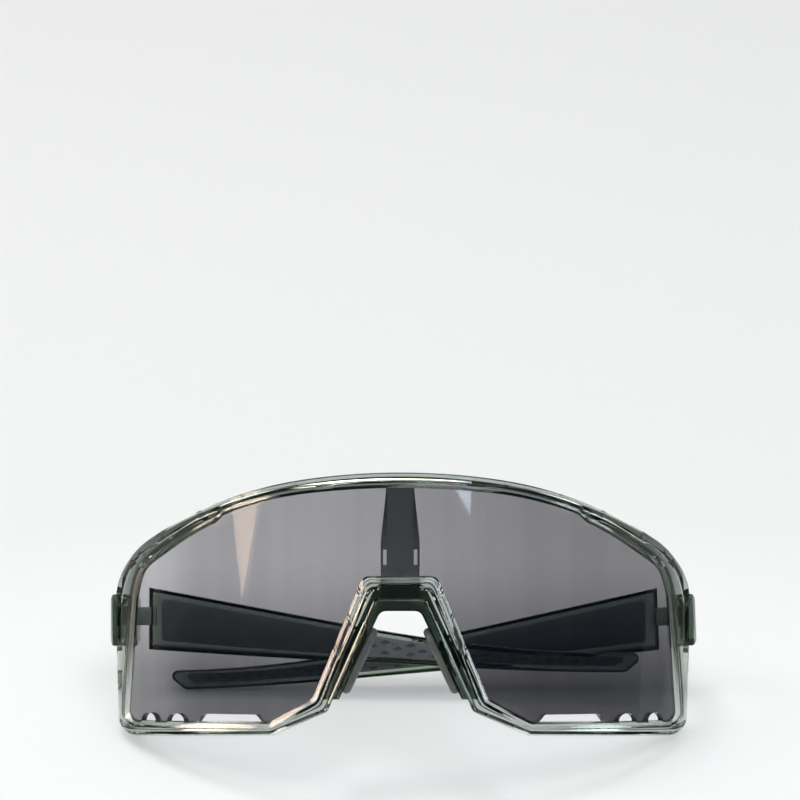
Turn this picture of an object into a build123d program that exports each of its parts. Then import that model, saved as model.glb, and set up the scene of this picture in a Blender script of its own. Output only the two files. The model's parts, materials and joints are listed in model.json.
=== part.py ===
from build123d import *
import os
from math import atan2, degrees, sqrt

# Wraparound sport sunglasses: full-rim crystal front, one-piece shield lens, folding temples.
# Everything is first built in the wearer's frame, with the temples folded, and is then leant
# back onto the table:
#   X across the face, Y from the front of the lens towards the ears, Z up.
# The lens is a stretch of a cylinder that stands on end behind it, so "depth" below is
# measured inwards from the lens's front face along that cylinder's radius.

# ---------------------------------------------------------------- driving dimensions, mm
WRAP_R = 90.0            # front face of the lens
LENS_T = 1.8             # lens thickness
LENS_GRIP = 1.2          # how far the lens edge reaches into the frame's groove
GROOVE_GAP = 0.1         # room round the lens edge in the groove
BEAD_PROUD = 1.2         # raised bead round the lens opening, in front of the lens
BEAD_W = 2.1             # width of that bead
FLANK_PROUD = 0.1        # the flank outside the bead lies lower
FRAME_DEPTH = 3.6        # back of the frame
RIM_BACK_Y = 41.0        # the rim's rear edge is trimmed level here

RIB_W = 0.9              # cross-ribs on the brow's flank
RIB_PROUD = 0.9
RIB_SPOTS = (26.8, 40.9, 51.8, 62.4, 68.6)       # where they cross it

VENT_H = 2.1             # height of the vents above the frame's lower rim
VENT_FOOT = 1.6          # how far they run down behind the rim
DOME_VENTS = ((65.2, 5.9), (57.7, 6.1))          # (across, width along the lens)
LONG_VENT = (43.4, 19.6, 15.8)                   # (across, width at foot, width at head)
RIM_Z = -29.6            # top of the lower rim at the vents

POST_FRONT = 1.85        # centre post stands just behind the lens
POST_T = 2.4
BRIDGE_Y = 12.5          # rear edge of the nose bridge
CLIP_X = 3.85            # windows in the post, for clipping in an optical insert
CLIP_Z = 12.0
CLIP_W = 0.9
CLIP_H = 3.8
PAD_T = 1.7              # nose pads
PAD_L = 18.0
PAD_W = 8.0
PAD_ROUND = 1.1          # bevel of the side that meets the nose
PAD_DOWN = 0.555         # its middle, this share of the way down the nose leg
PAD_Y = 8.0
BRIDGE_BEVEL = 0.5       # worn off the bridge's rear edge

HINGE_X = 72.4           # hinge axis
HINGE_Y = 53.0
HINGE_Z = -2.9           # middle of the hinge tongue
TONGUE_R = 2.6
TONGUE_H = 4.8
FORK_GAP = 0.1           # above, below and round the tongue
EAR_TOP = 2.0            # thickness of the upper and lower ears
EAR_LOW = 4.0
EAR_R = 2.9
ROOT_FLARE = 1.2         # the cheek grows this much taller, up and down, where it leaves the rim
CHEEK_OUT = 4.3          # outer wall that hides the hinge, from the hinge axis
CHEEK_REACH = 14.0       # how far in front of the axis the cheek starts, inside the rim
CHEEK_FRONT_IN = -3.0    # its inner side there, from the hinge axis
STOP_U = 5.0             # the open temple butts against that wall's end
THROAT_FRONT = 1.35      # the slot between the ears starts this far in front of the axis
SCREW_R = 0.7
SCREW_FIT = 0.05
SCREW_SHORT = 0.6        # the shank ends this far inside the lower ear
HEAD_R = 1.3
HEAD_H = 0.8
HEAD_FIT = 0.05          # round the head and above it
KERF_W = 0.35
KERF_H = 0.45

ARM_U = 5.1              # temple starts here, measured from the hinge axis
ARM_IN = 0.7             # its inner and outer faces, from the hinge axis
ARM_OUT = 4.3
ARM_TAPER_U = 60.0       # from here back its inner face comes outwards, to here at the tip
TIP_IN = 1.3
ARM_EDGE = 0.8           # rounding of its outer edges
ARM_CORNER = 1.5         # rounding of its ends, seen from the side
TONGUE_FRONT = 1.2       # the tongue's neck starts this far in front of the axis
TONGUE_NECK = 7.2        # and runs this far into the temple
# long edges, seen from the side: the slope at the heel, then points that smooth arcs run through
ARM_TOP = (-0.185, (ARM_U, 4.7), (55.9, -4.75), (91.9, -10.3), (137.5, -12.4))
ARM_LOW = (-0.07, (ARM_U, -11.7), (55.9, -14.8), (91.9, -16.7), (131.0, -17.7))
GRIP_TOP = (-0.18, (8.4, 1.8), (55.9, -6.6), (91.9, -11.8), (133.0, -13.4))
GRIP_LOW = (-0.09, (8.4, -9.4), (55.9, -13.1), (91.9, -15.2), (128.0, -16.1))
GRIP_DEPTH = 1.7         # the rubber grip fills a recess this deep
DIMPLE_L = 2.4           # diamond dimples in the grip
DIMPLE_H = 1.25
DIMPLE_DEPTH = 0.35
DIMPLE_COLUMNS = 19
DIMPLE_FROM = 0.46       # they fill this stretch of the grip's length
DIMPLE_TO = 0.95
DIMPLE_ROW = 0.27        # rows this share of the grip's height above and below the middle

FOLD_SKEW = 1.6          # folded temples lie this far off square, one in front of the other
RIGHT_LEAN = 2.05        # the right hinge leans, so its temple folds below the left one
LEANS = (20.0, 40.0)     # the lean that puts it on the table is between these
LEAN_STEPS = 14          # halvings that find it
FOOT_FLAT = 0.25         # the three points it rests on are worn flat by this much

FAR = 100.0              # clear of everything
FRONT_Y = -6.0           # planes in front of and behind all of it
BACK_Y = 62.0
SLIGHT = 1.0             # overrun of a tool past the face that it cuts


# ---------------------------------------------------------------- shared shapes
def prism(face, y_front=FRONT_Y, y_back=BACK_Y):
    """A flat outline, drawn with X across and Z up, run from front to back."""
    return extrude(Plane.XZ.offset(-y_front) * face, amount=y_front - y_back)


def wrap(face, front, back):
    """The same outline cut from the wrapped shell between two depths."""
    outer = Cylinder(WRAP_R - front, FAR)
    inner = Cylinder(WRAP_R - back, FAR)
    return prism(face) & (Pos(0, WRAP_R, 0) * (outer - inner))


def both_halves(*edges):
    """A closed face from the edges of its right half."""
    half = Curve() + list(edges)
    return make_face(half + mirror(half, about=Plane.YZ))


# ---------------------------------------------------------------- outlines of the front
def arcs(start, tangent, *points):
    """A smooth run of arcs through the points, each tangent to the one before."""
    run = []
    for point in points:
        run.append(TangentArc(start, point, tangent=tangent))
        start = run[-1] @ 1
        tangent = run[-1] % 1
    return run


brow = arcs((0, 33.2), (1, 0), (26.8, 31.1), (51.0, 24.2), (64.8, 17.2), (72.7, 9.1), (75.0, 0.5))
side = Line((75.0, 0.5), (73.9, -28.8))
corner = TangentArc(side @ 1, (69.4, -33.6), tangent=side % 1)
sill = FilletPolyline(corner @ 1, (32.0, -32.6), (18.2, -26.6), (6.0, 1.0), (0, 1.0), radius=1.8)
frame_face = both_halves(*brow, side, corner, sill)

lid = arcs((0, 29.3), (1, 0), (24.2, 27.95), (45.2, 22.8))
step = Line((45.2, 22.8), (47.2, 20.9))
shoulder = ThreePointArc(step @ 1, (56.2, 16.2), (64.2, 11.0))
cheek = arcs(shoulder @ 1, shoulder % 1, (67.2, 7.0), (68.6, 0.0))
drop = Line((68.6, 0.0), (70.5, -26.0))
basin = FilletPolyline(drop @ 1, (70.8, -29.7), (32.8, -29.2), (22.0, -23.4), (9.2, 7.3), (0, 7.3),
                       radius=2.6)
opening_face = both_halves(*lid, step, shoulder, *cheek, drop, basin)
opening_face = fillet(opening_face.vertices().filter_by(lambda v: 45 < abs(v.X) < 48), 1.4)

lens_face = offset(opening_face, LENS_GRIP)
groove_face = offset(opening_face, LENS_GRIP + GROOVE_GAP)
bead_face = offset(opening_face, BEAD_W) & frame_face


# ---------------------------------------------------------------- front frame
def hinge_spot(side):
    """Where a hinge stands: +1 is the right one, which leans a little."""
    lean = -RIGHT_LEAN if side > 0 else 0.0
    return Pos(side * HINGE_X, HINGE_Y, HINGE_Z) * Rot(0, lean, 0)


def upright(face, low, high):
    """A plan outline, X across and Y back, run from one height to another."""
    return Pos(0, 0, low) * extrude(face, amount=high - low)


def mirror_to(side, shape):
    """Shapes are drawn for the right-hand side."""
    return shape if side > 0 else mirror(shape, about=Plane.YZ)


EAR_TOP_Z = TONGUE_H / 2 + FORK_GAP + EAR_TOP
EAR_LOW_Z = -TONGUE_H / 2 - FORK_GAP - EAR_LOW
CHEEK_IN = TONGUE_R + FORK_GAP + 0.05    # the cheek's inner wall just clears the turning tongue
FLARE_END = -9.0                         # the root flare runs out between these two
FLARE_START = -2.5


def fork(side):
    """Cheek and ears of one hinge, in the hinge's own place."""
    plan = make_face(Polyline((CHEEK_FRONT_IN, -11.0), (3.2, -13.6), (CHEEK_OUT, -7.0), (CHEEK_OUT, STOP_U),
                              (CHEEK_IN, STOP_U), (CHEEK_IN, 0), (-EAR_R, 0), close=True))
    root_top = EAR_TOP_Z + ROOT_FLARE
    root_low = EAR_LOW_Z - ROOT_FLARE
    flare = make_face(Polyline((-CHEEK_REACH, root_low), (-CHEEK_REACH, root_top), (FLARE_END, root_top),
                               (FLARE_START, EAR_TOP_Z), (STOP_U, EAR_TOP_Z), (STOP_U, EAR_LOW_Z),
                               (FLARE_START, EAR_LOW_Z), (FLARE_END, root_low), close=True))
    flare = fillet(flare.vertices().filter_by(lambda v: v.X == FLARE_START), 6.0)
    flare = fillet(flare.vertices().filter_by(lambda v: v.X == STOP_U), 1.5)
    ears = upright(plan + Circle(EAR_R), root_low, root_top)
    ears &= Pos(-2 * HINGE_X, 0, 0) * extrude(Plane.YZ * flare, amount=4 * HINGE_X)
    throat = Rectangle(FAR, FAR, align=(Align.MAX, Align.MIN)).moved(Location((CHEEK_IN, -THROAT_FRONT, 0)))
    slot = upright(throat + Circle(TONGUE_R + FORK_GAP),
                   -TONGUE_H / 2 - FORK_GAP, TONGUE_H / 2 + FORK_GAP)
    bore = upright(Circle(SCREW_R), EAR_LOW_Z - SLIGHT, EAR_TOP_Z + SLIGHT)
    seat = upright(Circle(HEAD_R + HEAD_FIT), EAR_TOP_Z - HEAD_H, EAR_TOP_Z + SLIGHT)
    return hinge_spot(side) * mirror_to(side, ears - slot - bore - seat)


def screw(side):
    """A small cheese-head screw down through both ears."""
    shank = upright(Circle(SCREW_R), EAR_LOW_Z + SCREW_SHORT, EAR_TOP_Z - HEAD_H)
    head = upright(Circle(HEAD_R), EAR_TOP_Z - HEAD_H, EAR_TOP_Z - HEAD_FIT)
    head = chamfer(head.edges().sort_by(Axis.Z)[-1], 0.2)
    kerf = Pos(0, 0, EAR_TOP_Z) * Box(3 * HEAD_R, KERF_W, 2 * KERF_H)
    return hinge_spot(side) * (shank + head - kerf)


def brow_rib(across, side):
    """One cross-rib over the brow's flank, square to the brow line."""
    plumb = Line((across, 0), (across, 40))
    arc = [a for a in brow if (a @ 0).X <= across < (a @ 1).X][0]
    spot = arc.intersect(plumb)[0]
    way = arc % arc.param_at_point(spot)
    bar = Rectangle(RIB_W, 2 * BEAD_W).rotate(Axis.Z, degrees(atan2(way.Y, way.X)))
    return wrap(mirror_to(side, Pos(spot.X, spot.Y) * bar) & frame_face, -RIB_PROUD, 1.0)


body = wrap(frame_face - opening_face, -FLANK_PROUD, FRAME_DEPTH)
bead = wrap(bead_face - opening_face, -BEAD_PROUD, 1.0)
groove = wrap(groove_face, 0, LENS_T)
trim = Pos(0, RIM_BACK_Y, 0) * Box(2 * FAR, FAR, 2 * FAR, align=(Align.CENTER, Align.MIN, Align.CENTER))
front_frame = body + bead
for side in (-1, 1):
    for across in RIB_SPOTS:
        front_frame += brow_rib(across, side)
front_frame -= trim
front_frame -= groove
for side in (-1, 1):
    front_frame += fork(side) - groove


# ---------------------------------------------------------------- shield lens
def on_lens(across):
    """A plane that touches the lens at this distance across, with Z up."""
    turn = degrees(atan2(across, sqrt(WRAP_R**2 - across**2)))
    return Pos(0, WRAP_R, 0) * Rot(0, 0, turn) * Pos(0, -WRAP_R, RIM_Z)


def vent(across, face):
    """A notch through the lens, cut square to its surface."""
    return on_lens(across) * prism(face, -2 * LENS_T, 2 * LENS_T)


shield_lens = wrap(lens_face, 0, LENS_T)
long_across, long_foot, long_head = LONG_VENT
long_slope = (long_foot - long_head) / 2 / VENT_H
long_skirt = long_foot / 2 + long_slope * VENT_FOOT
long_face = make_face(Polyline((-long_skirt, -VENT_FOOT), (-long_head / 2, VENT_H),
                               (long_head / 2, VENT_H), (long_skirt, -VENT_FOOT), close=True))
long_face = fillet(long_face.vertices().group_by(Axis.Y)[-1], 0.9)
for side in (-1, 1):
    shield_lens -= vent(side * long_across, long_face)
    for across, width in DOME_VENTS:
        skirt = Pos(0, -VENT_FOOT / 2) * Rectangle(width, VENT_FOOT)
        shield_lens -= vent(side * across, Ellipse(width / 2, VENT_H) + skirt)


# ---------------------------------------------------------------- nose bridge and its post
arch_out = FilletPolyline((0, 5.4), (5.8, 5.4), (19.0, -23.6), radius=2.6)
arch_in = FilletPolyline((0, -1.5), (5.0, -1.5), (15.4, -23.6), radius=2.2)
arch_face = both_halves(arch_out, arch_in, Line(arch_out @ 1, arch_in @ 1))
behind_frame = Pos(0, WRAP_R, 0) * Cylinder(WRAP_R - FRAME_DEPTH, FAR)
arch = prism(arch_face, 0, BRIDGE_Y) & behind_frame
arch = chamfer(arch.faces().sort_by(Axis.Y)[-1].outer_wire().edges(), BRIDGE_BEVEL)

post_edge = Polyline((0, 30.3), (3.5, 30.3), (3.6, 28.0), (4.9, 15.8), (4.8, 1.5), (0, 1.5))
post_face = both_halves(post_edge)
for side in (-1, 1):
    post_face -= Pos(side * CLIP_X, CLIP_Z) * Rectangle(CLIP_W, CLIP_H)
post = wrap(post_face, POST_FRONT, POST_FRONT + POST_T)
nose_bridge = arch + post
post_pocket = wrap(offset(both_halves(post_edge), GROOVE_GAP), LENS_T, FRAME_DEPTH + SLIGHT)
front_frame -= post_pocket

leg = Line((5.0, -1.5), (15.4, -23.6))           # the arch's inner wall, where the pad lies
leg_way = leg % 0.5


def nose_pad(side):
    """A soft pad lying on the inner wall of one nose leg."""
    spot = leg @ PAD_DOWN
    into_nose = (leg_way.Y, 0, -leg_way.X)
    wall = Plane((spot.X, PAD_Y, spot.Y), x_dir=(leg_way.X, 0, leg_way.Y), z_dir=into_nose)
    blank = extrude(wall * SlotOverall(PAD_L, PAD_W), amount=PAD_T)
    crown = blank.faces().sort_by(Axis((0, 0, 0), into_nose))[-1]
    return mirror_to(side, chamfer(crown.outer_wire().edges(), PAD_ROUND))


# ---------------------------------------------------------------- temples
def long_edge(slope, *points):
    """One long edge of a temple or grip, seen from the side."""
    return Wire(arcs(points[0], (1, slope), *points[1:]))


def long_side(top, low, corner):
    """Side view of a temple or grip, from its heel at the hinge to its tip."""
    upper = long_edge(*top)
    lower = long_edge(*low)
    ends = [Line(upper @ t, lower @ t) for t in (0, 1)]
    face = make_face(Curve() + upper.edges() + lower.edges() + ends)
    tip = face.vertices().sort_by(Axis.X)[-2:]
    return fillet(tip, corner)


def place_temple(side, shape):
    """Shapes are drawn for the left hinge, folded square across the back of the lens."""
    turned = Rot(0, 0, -FOLD_SKEW) * mirror_to(-side, shape)
    return hinge_spot(side) * turned


arm_side = long_side(ARM_TOP, ARM_LOW, ARM_CORNER)
grip_side = long_side(GRIP_TOP, GRIP_LOW, 0.8)
grip_side = fillet(grip_side.vertices().group_by(Axis.X)[0], 1.2)
past_tip = ARM_TOP[-1][0] + SLIGHT
arm_plan = make_face(Polyline((0, ARM_IN), (ARM_TAPER_U, ARM_IN), (past_tip, TIP_IN),
                              (past_tip, ARM_OUT), (0, ARM_OUT), close=True))
arm_slab = upright(arm_plan, -FAR, FAR)
arm = extrude(Plane.XZ * arm_side, amount=-2 * ARM_OUT) & arm_slab
arm = fillet(arm.faces().sort_by(Axis.Y)[-1].edges().filter_by(lambda e: e.length > ARM_U), ARM_EDGE)
recess = extrude(Plane.XZ * grip_side, amount=-(ARM_IN + GRIP_DEPTH))
arm -= recess
neck = Pos(0, -TONGUE_FRONT) * Rectangle(TONGUE_NECK, TONGUE_R + TONGUE_FRONT, align=(Align.MIN, Align.MIN))
arm += upright(Circle(TONGUE_R) + neck, HINGE_Z - TONGUE_H / 2, HINGE_Z + TONGUE_H / 2)
arm -= upright(Circle(SCREW_R + SCREW_FIT), -FAR, FAR)
arm = Pos(0, 0, -HINGE_Z) * arm

grip = recess & arm_slab
grip_top = long_edge(*GRIP_TOP)
grip_low = long_edge(*GRIP_LOW)
diamond = make_face(Polyline((-DIMPLE_L / 2, 0), (0, DIMPLE_H / 2), (DIMPLE_L / 2, 0), (0, -DIMPLE_H / 2),
                             close=True))
dimples = Sketch()
for column in range(DIMPLE_COLUMNS):
    t = DIMPLE_FROM + (DIMPLE_TO - DIMPLE_FROM) * column / (DIMPLE_COLUMNS - 1)
    upper = grip_top @ t
    lower = grip_low @ t
    middle = (upper + lower) / 2
    row_gap = DIMPLE_ROW * (upper.Y - lower.Y)
    rows = (-1, 1) if column % 2 else (0,)
    for row in rows:
        dimples += Pos(middle.X, middle.Y + row * row_gap) * diamond
grip -= extrude(Plane.XZ * dimples, amount=-(TIP_IN + DIMPLE_DEPTH))
grip = Pos(0, 0, -HINGE_Z) * grip


# ---------------------------------------------------------------- the pieces, still upright
pieces = {"front_frame": front_frame, "shield_lens": shield_lens, "nose_bridge": nose_bridge}
for side, name in ((-1, "left"), (1, "right")):
    pieces["nose_pad_" + name] = nose_pad(side)
    pieces["temple_" + name] = place_temple(side, arm)
    pieces["temple_grip_" + name] = place_temple(side, grip)
    pieces["hinge_screw_" + name] = screw(side)


# ---------------------------------------------------------------- leaning on the table
def lowest(shape, lean):
    return (Rot(-lean, 0, 0) * shape).bounding_box().min.Z


shallow, steep = LEANS
for halving in range(LEAN_STEPS):
    lean = (shallow + steep) / 2
    if lowest(pieces["front_frame"], lean) < lowest(pieces["temple_right"], lean):
        shallow = lean
    else:
        steep = lean

leant = {name: Rot(-lean, 0, 0) * shape for name, shape in pieces.items()}
boxes = [shape.bounding_box() for shape in leant.values()]
low_corner = [min(tuple(b.min)[axis] for b in boxes) for axis in range(3)]
high_corner = [max(tuple(b.max)[axis] for b in boxes) for axis in range(3)]
shift = Pos(-(low_corner[0] + high_corner[0]) / 2, -(low_corner[1] + high_corner[1]) / 2,
            -low_corner[2] - FOOT_FLAT)
table = Box(4 * FAR, 4 * FAR, FAR, align=(Align.CENTER, Align.CENTER, Align.MAX))
rested = {name: shift * shape for name, shape in leant.items()}
rested["front_frame"] -= table
rested["temple_right"] -= table

os.makedirs("parts", exist_ok=True)
for name, shape in rested.items():
    export_step(shape, "parts/" + name + ".step")

for side, name in ((-1, "left"), (1, "right")):
    axis = Plane(shift * Rot(-lean, 0, 0) * hinge_spot(side))
    print("hinge", name, "stands at", axis.origin, "along", axis.z_dir)
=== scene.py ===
"""Looks of a pair of wraparound sport sunglasses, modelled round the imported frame.

The front is drawn in the wearer's frame, in millimetres: X across the face, Z up, and depth
inwards from the lens's front face along the radius of the cylinder that the lens follows.
Lean turns such a point into the row frame, in metres, where everything is built.
"""
import json
import logging
from dataclasses import dataclass
from enum import Enum
from math import atan2, cos, pi, radians, sin, sqrt, tan
from typing import Callable, Iterable, Sequence

import bmesh
import bpy
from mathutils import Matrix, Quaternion, Vector


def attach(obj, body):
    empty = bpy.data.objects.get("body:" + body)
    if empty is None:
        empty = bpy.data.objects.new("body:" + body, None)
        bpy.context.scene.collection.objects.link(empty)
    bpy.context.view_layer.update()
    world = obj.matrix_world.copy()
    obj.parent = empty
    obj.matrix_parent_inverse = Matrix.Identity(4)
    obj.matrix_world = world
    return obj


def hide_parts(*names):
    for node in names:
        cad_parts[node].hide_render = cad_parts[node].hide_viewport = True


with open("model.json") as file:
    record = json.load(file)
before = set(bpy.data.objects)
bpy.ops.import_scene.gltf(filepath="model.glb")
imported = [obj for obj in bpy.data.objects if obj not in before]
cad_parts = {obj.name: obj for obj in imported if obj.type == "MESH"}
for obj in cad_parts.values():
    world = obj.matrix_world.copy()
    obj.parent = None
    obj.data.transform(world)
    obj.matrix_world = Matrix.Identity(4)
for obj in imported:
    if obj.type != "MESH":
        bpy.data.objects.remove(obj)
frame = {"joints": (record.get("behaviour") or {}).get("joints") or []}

LOG = logging.getLogger("sunglasses")
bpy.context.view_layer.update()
MM = 0.001
SAME_SPOT = 1e-7            # metres: vertices this close are one
CRUMB = 2e-6                # metres: edges this short are cleaned away
TABLE = 1e-6                # metres: the flats that the glasses lie on are this high
PITCH = 0.2                 # about how far apart the points of an arc are
CORNER_PITCH = 0.15         # the same for a rounded corner
TINY = 1e-6                 # a shorter run is a point, and an arc that rises by less of its chord a line
NOTHING = 1e-9              # nothing is divided by less than this
SHARP_TURN = radians(35)    # corners sharper than this stay sharp when a loop shrinks
PULLED = 1e-4               # the share of their distance that points beside such a corner keep
MITRE_LIMIT = 0.35          # no moved corner runs out further than the distance over this
LOOK_AHEAD = 10             # how many points on a temple's edge shows its direction
THROUGH = (-8.0, 62.0)      # a cut from in front of the glasses to behind them

Flat = tuple[float, float]
Point = tuple[float, float, float]
Colour = tuple[float, float, float, float]
Ring = list[Vector]
LongEdge = tuple[float, tuple[Flat, ...]]
Model = bpy.types.Object
Material = bpy.types.Material
Node = bpy.types.Node
Socket = bpy.types.NodeSocket


class Side(Enum):
    """Which half of the glasses a piece is on, by the sign of X."""

    LEFT = -1
    RIGHT = 1

    @property
    def word(self) -> str:
        """The side's name as the CAD nodes spell it."""
        return self.name.lower()


class Caps(Enum):
    """How the ends of a run of rings are closed."""

    LOOP = "the last ring joins the first"
    FLAT = "each end ring gets a flat face"


class Edge(Enum):
    """Where a corner of the rim's section is measured from."""

    OPENING = "outwards from the lens opening"
    BEAD = "outwards from the bead's outer side"
    MIDDLE = "outwards from half-way across the rim"
    OUTSIDE = "inwards from the outer edge"


# ------------------------------------------------------------------ flat outlines
def arc_to(start: Flat, way: Flat, end: Flat, pitch: float = PITCH) -> list[Flat]:
    """Points along the arc that leaves start in a given direction and ends at end.

    Args:
        start: Where the arc begins.
        way: Its direction there.
        end: Where it ends.
        pitch: About how far apart the points are.

    Returns:
        The points, both ends included.
    """
    chord = (end[0] - start[0], end[1] - start[1])
    reach = sqrt(chord[0] ** 2 + chord[1] ** 2)
    if reach < TINY:
        return [start]
    length = sqrt(way[0] ** 2 + way[1] ** 2)
    normal = (-way[1] / length, way[0] / length)
    rise = chord[0] * normal[0] + chord[1] * normal[1]
    if abs(rise) < TINY * reach:
        count = max(1, round(reach / pitch))
        return [(start[0] + chord[0] * i / count, start[1] + chord[1] * i / count)
                for i in range(count + 1)]
    radius = reach ** 2 / (2 * rise)
    centre = (start[0] + normal[0] * radius, start[1] + normal[1] * radius)
    first = atan2(start[1] - centre[1], start[0] - centre[0])
    last = atan2(end[1] - centre[1], end[0] - centre[0])
    whole = (last - first + pi) % (2 * pi) - pi
    count = max(2, round(abs(whole * radius) / pitch))
    size = abs(radius)
    turns = [first + whole * i / count for i in range(count + 1)]
    return [(centre[0] + size * cos(turn), centre[1] + size * sin(turn)) for turn in turns]


def arc_run(start: Flat, way: Flat, *ends: Flat) -> list[Flat]:
    """A smooth run of arcs through the given points, each tangent to the one before.

    Args:
        start: Where the run begins.
        way: Its direction there.
        *ends: Where each arc ends.

    Returns:
        The points of the whole run.
    """
    points = [start]
    for end in ends:
        points += arc_to(points[-1], way, end)[1:]
        way = (points[-1][0] - points[-2][0], points[-1][1] - points[-2][1])
    return points


def rounded(corners: Sequence[Flat], radius: float | Sequence[float]) -> list[Flat]:
    """A run of straight lines with its inner corners rounded.

    Args:
        corners: The sharp corners, both ends included.
        radius: One radius, or one for each inner corner.

    Returns:
        The points of the run.
    """
    radii = [radius] * (len(corners) - 2) if isinstance(radius, (int, float)) else list(radius)
    points = [corners[0]]
    for before, corner, after, size in zip(corners, corners[1:], corners[2:], radii):
        back = Vector(before) - Vector(corner)
        ahead = Vector(after) - Vector(corner)
        half = back.angle(ahead) / 2
        reach = size / tan(half) if size else 0.0
        enter = Vector(corner) + back.normalized() * reach
        leave = Vector(corner) + ahead.normalized() * reach
        points += arc_to(points[-1], tuple(enter - Vector(points[-1])), tuple(enter))[1:]
        if size:
            points += arc_to(tuple(enter), tuple(-back), tuple(leave), CORNER_PITCH)[1:]
    return points + arc_to(points[-1], tuple(Vector(corners[-1]) - Vector(points[-1])), corners[-1])[1:]


def spread(points: Sequence[Flat], count: int) -> list[Flat]:
    """Evenly spaced points along a run.

    Args:
        points: The run.
        count: How many gaps the run is divided into.

    Returns:
        count points; the run's own last point is left off.
    """
    reach = [0.0]
    for a, b in zip(points, points[1:]):
        reach.append(reach[-1] + (Vector(b) - Vector(a)).length)
    out, k = [], 0
    for i in range(count):
        want = reach[-1] * i / count
        while reach[k + 1] < want:
            k += 1
        share = (want - reach[k]) / max(reach[k + 1] - reach[k], NOTHING)
        out.append(tuple(Vector(points[k]).lerp(Vector(points[k + 1]), share)))
    return out


def cut_at(points: Sequence[Flat], marks: Iterable[Flat]) -> list[list[Flat]]:
    """Divides a run at the points nearest to some marks.

    Args:
        points: The run.
        marks: A place near each cut, in order.

    Returns:
        The pieces, each sharing its end points with its neighbours.
    """
    spots = [0]
    for mark in marks:
        away = {i: (Vector(points[i]) - Vector(mark)).length for i in range(spots[-1], len(points))}
        spots.append(min(away, key=away.get))
    spots.append(len(points) - 1)
    return [list(points[a:b + 1]) for a, b in zip(spots, spots[1:])]


def outward(loop: Sequence[Flat], distance: float | Callable[[Flat], float]) -> list[Flat]:
    """A closed clockwise loop moved outwards, or inwards by a negative distance.

    Args:
        loop: The loop, its first point not repeated.
        distance: How far every point moves square to the loop, or a rule that gives it for each point.

    Returns:
        As many points as the loop has.
    """
    moved, corners = [], []
    for before, here, after in zip(loop[-1:] + loop[:-1], loop, loop[1:] + loop[:1]):
        enter = (Vector(here) - Vector(before)).normalized()
        leave = (Vector(after) - Vector(here)).normalized()
        bend = enter + leave
        local = distance(here) if callable(distance) else distance
        reach = local / max(0.5 + enter.dot(leave) / 2, MITRE_LIMIT)
        moved.append((here[0] - bend.y / 2 * reach, here[1] + bend.x / 2 * reach))
        turn = enter.angle(leave, 0.0)
        if local < 0 and turn > SHARP_TURN:
            corners.append((len(moved) - 1, -local * tan(turn / 2)))
    for spot, reach in corners:
        for way in (-1, 1):
            step = way
            while (Vector(loop[(spot + step) % len(loop)]) - Vector(loop[spot])).length < reach:
                other = (spot + step) % len(loop)
                moved[other] = tuple(Vector(moved[spot]).lerp(Vector(moved[other]), PULLED))
                step += way
    return moved


def both_halves(right: Sequence[Flat]) -> list[Flat]:
    """A closed loop from its right half, which starts and ends on the middle line.

    Args:
        right: The right half, both ends included.

    Returns:
        The whole loop, its first point not repeated.
    """
    return list(right) + [(-x, z) for x, z in reversed(right[1:-1])]


# ------------------------------------------------------------------ places
@dataclass(frozen=True)
class Lean:
    """Turns places in the wearer's frame into the row frame, by where the left hinge stands."""

    wrap_radius: float = 90.0
    hinge: Point = (-72.4, 53.0, -2.9)

    @property
    def joint(self) -> dict:
        """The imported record's left hinge."""
        return next(j for j in frame["joints"] if j["name"] == "left_hinge")

    @property
    def up(self) -> Point:
        """The wearer's upward direction in the row frame, which is the left hinge's axis."""
        return tuple(self.joint["axis"])

    def place(self, x: float, y: float, z: float) -> Vector:
        """Turns a point of the wearer's frame into the row frame.

        Args:
            x: Millimetres across, to the right.
            y: Millimetres back from the front of the lens.
            z: Millimetres up.

        Returns:
            The point in metres.
        """
        _, lean_sin, lean_cos = self.up
        dx, dy, dz = x - self.hinge[0], y - self.hinge[1], z - self.hinge[2]
        turned = Vector((dx, dy * lean_cos + dz * lean_sin, dz * lean_cos - dy * lean_sin))
        return turned * MM + Vector(self.joint["pos_m"])

    def wrapped(self, x: float, depth: float, z: float) -> Vector:
        """A point on the lens's cylinder, or that deep behind it, in the row frame."""
        return self.place(x, self.wrap_radius - sqrt((self.wrap_radius - depth) ** 2 - x ** 2), z)


LEAN = Lean()


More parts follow.
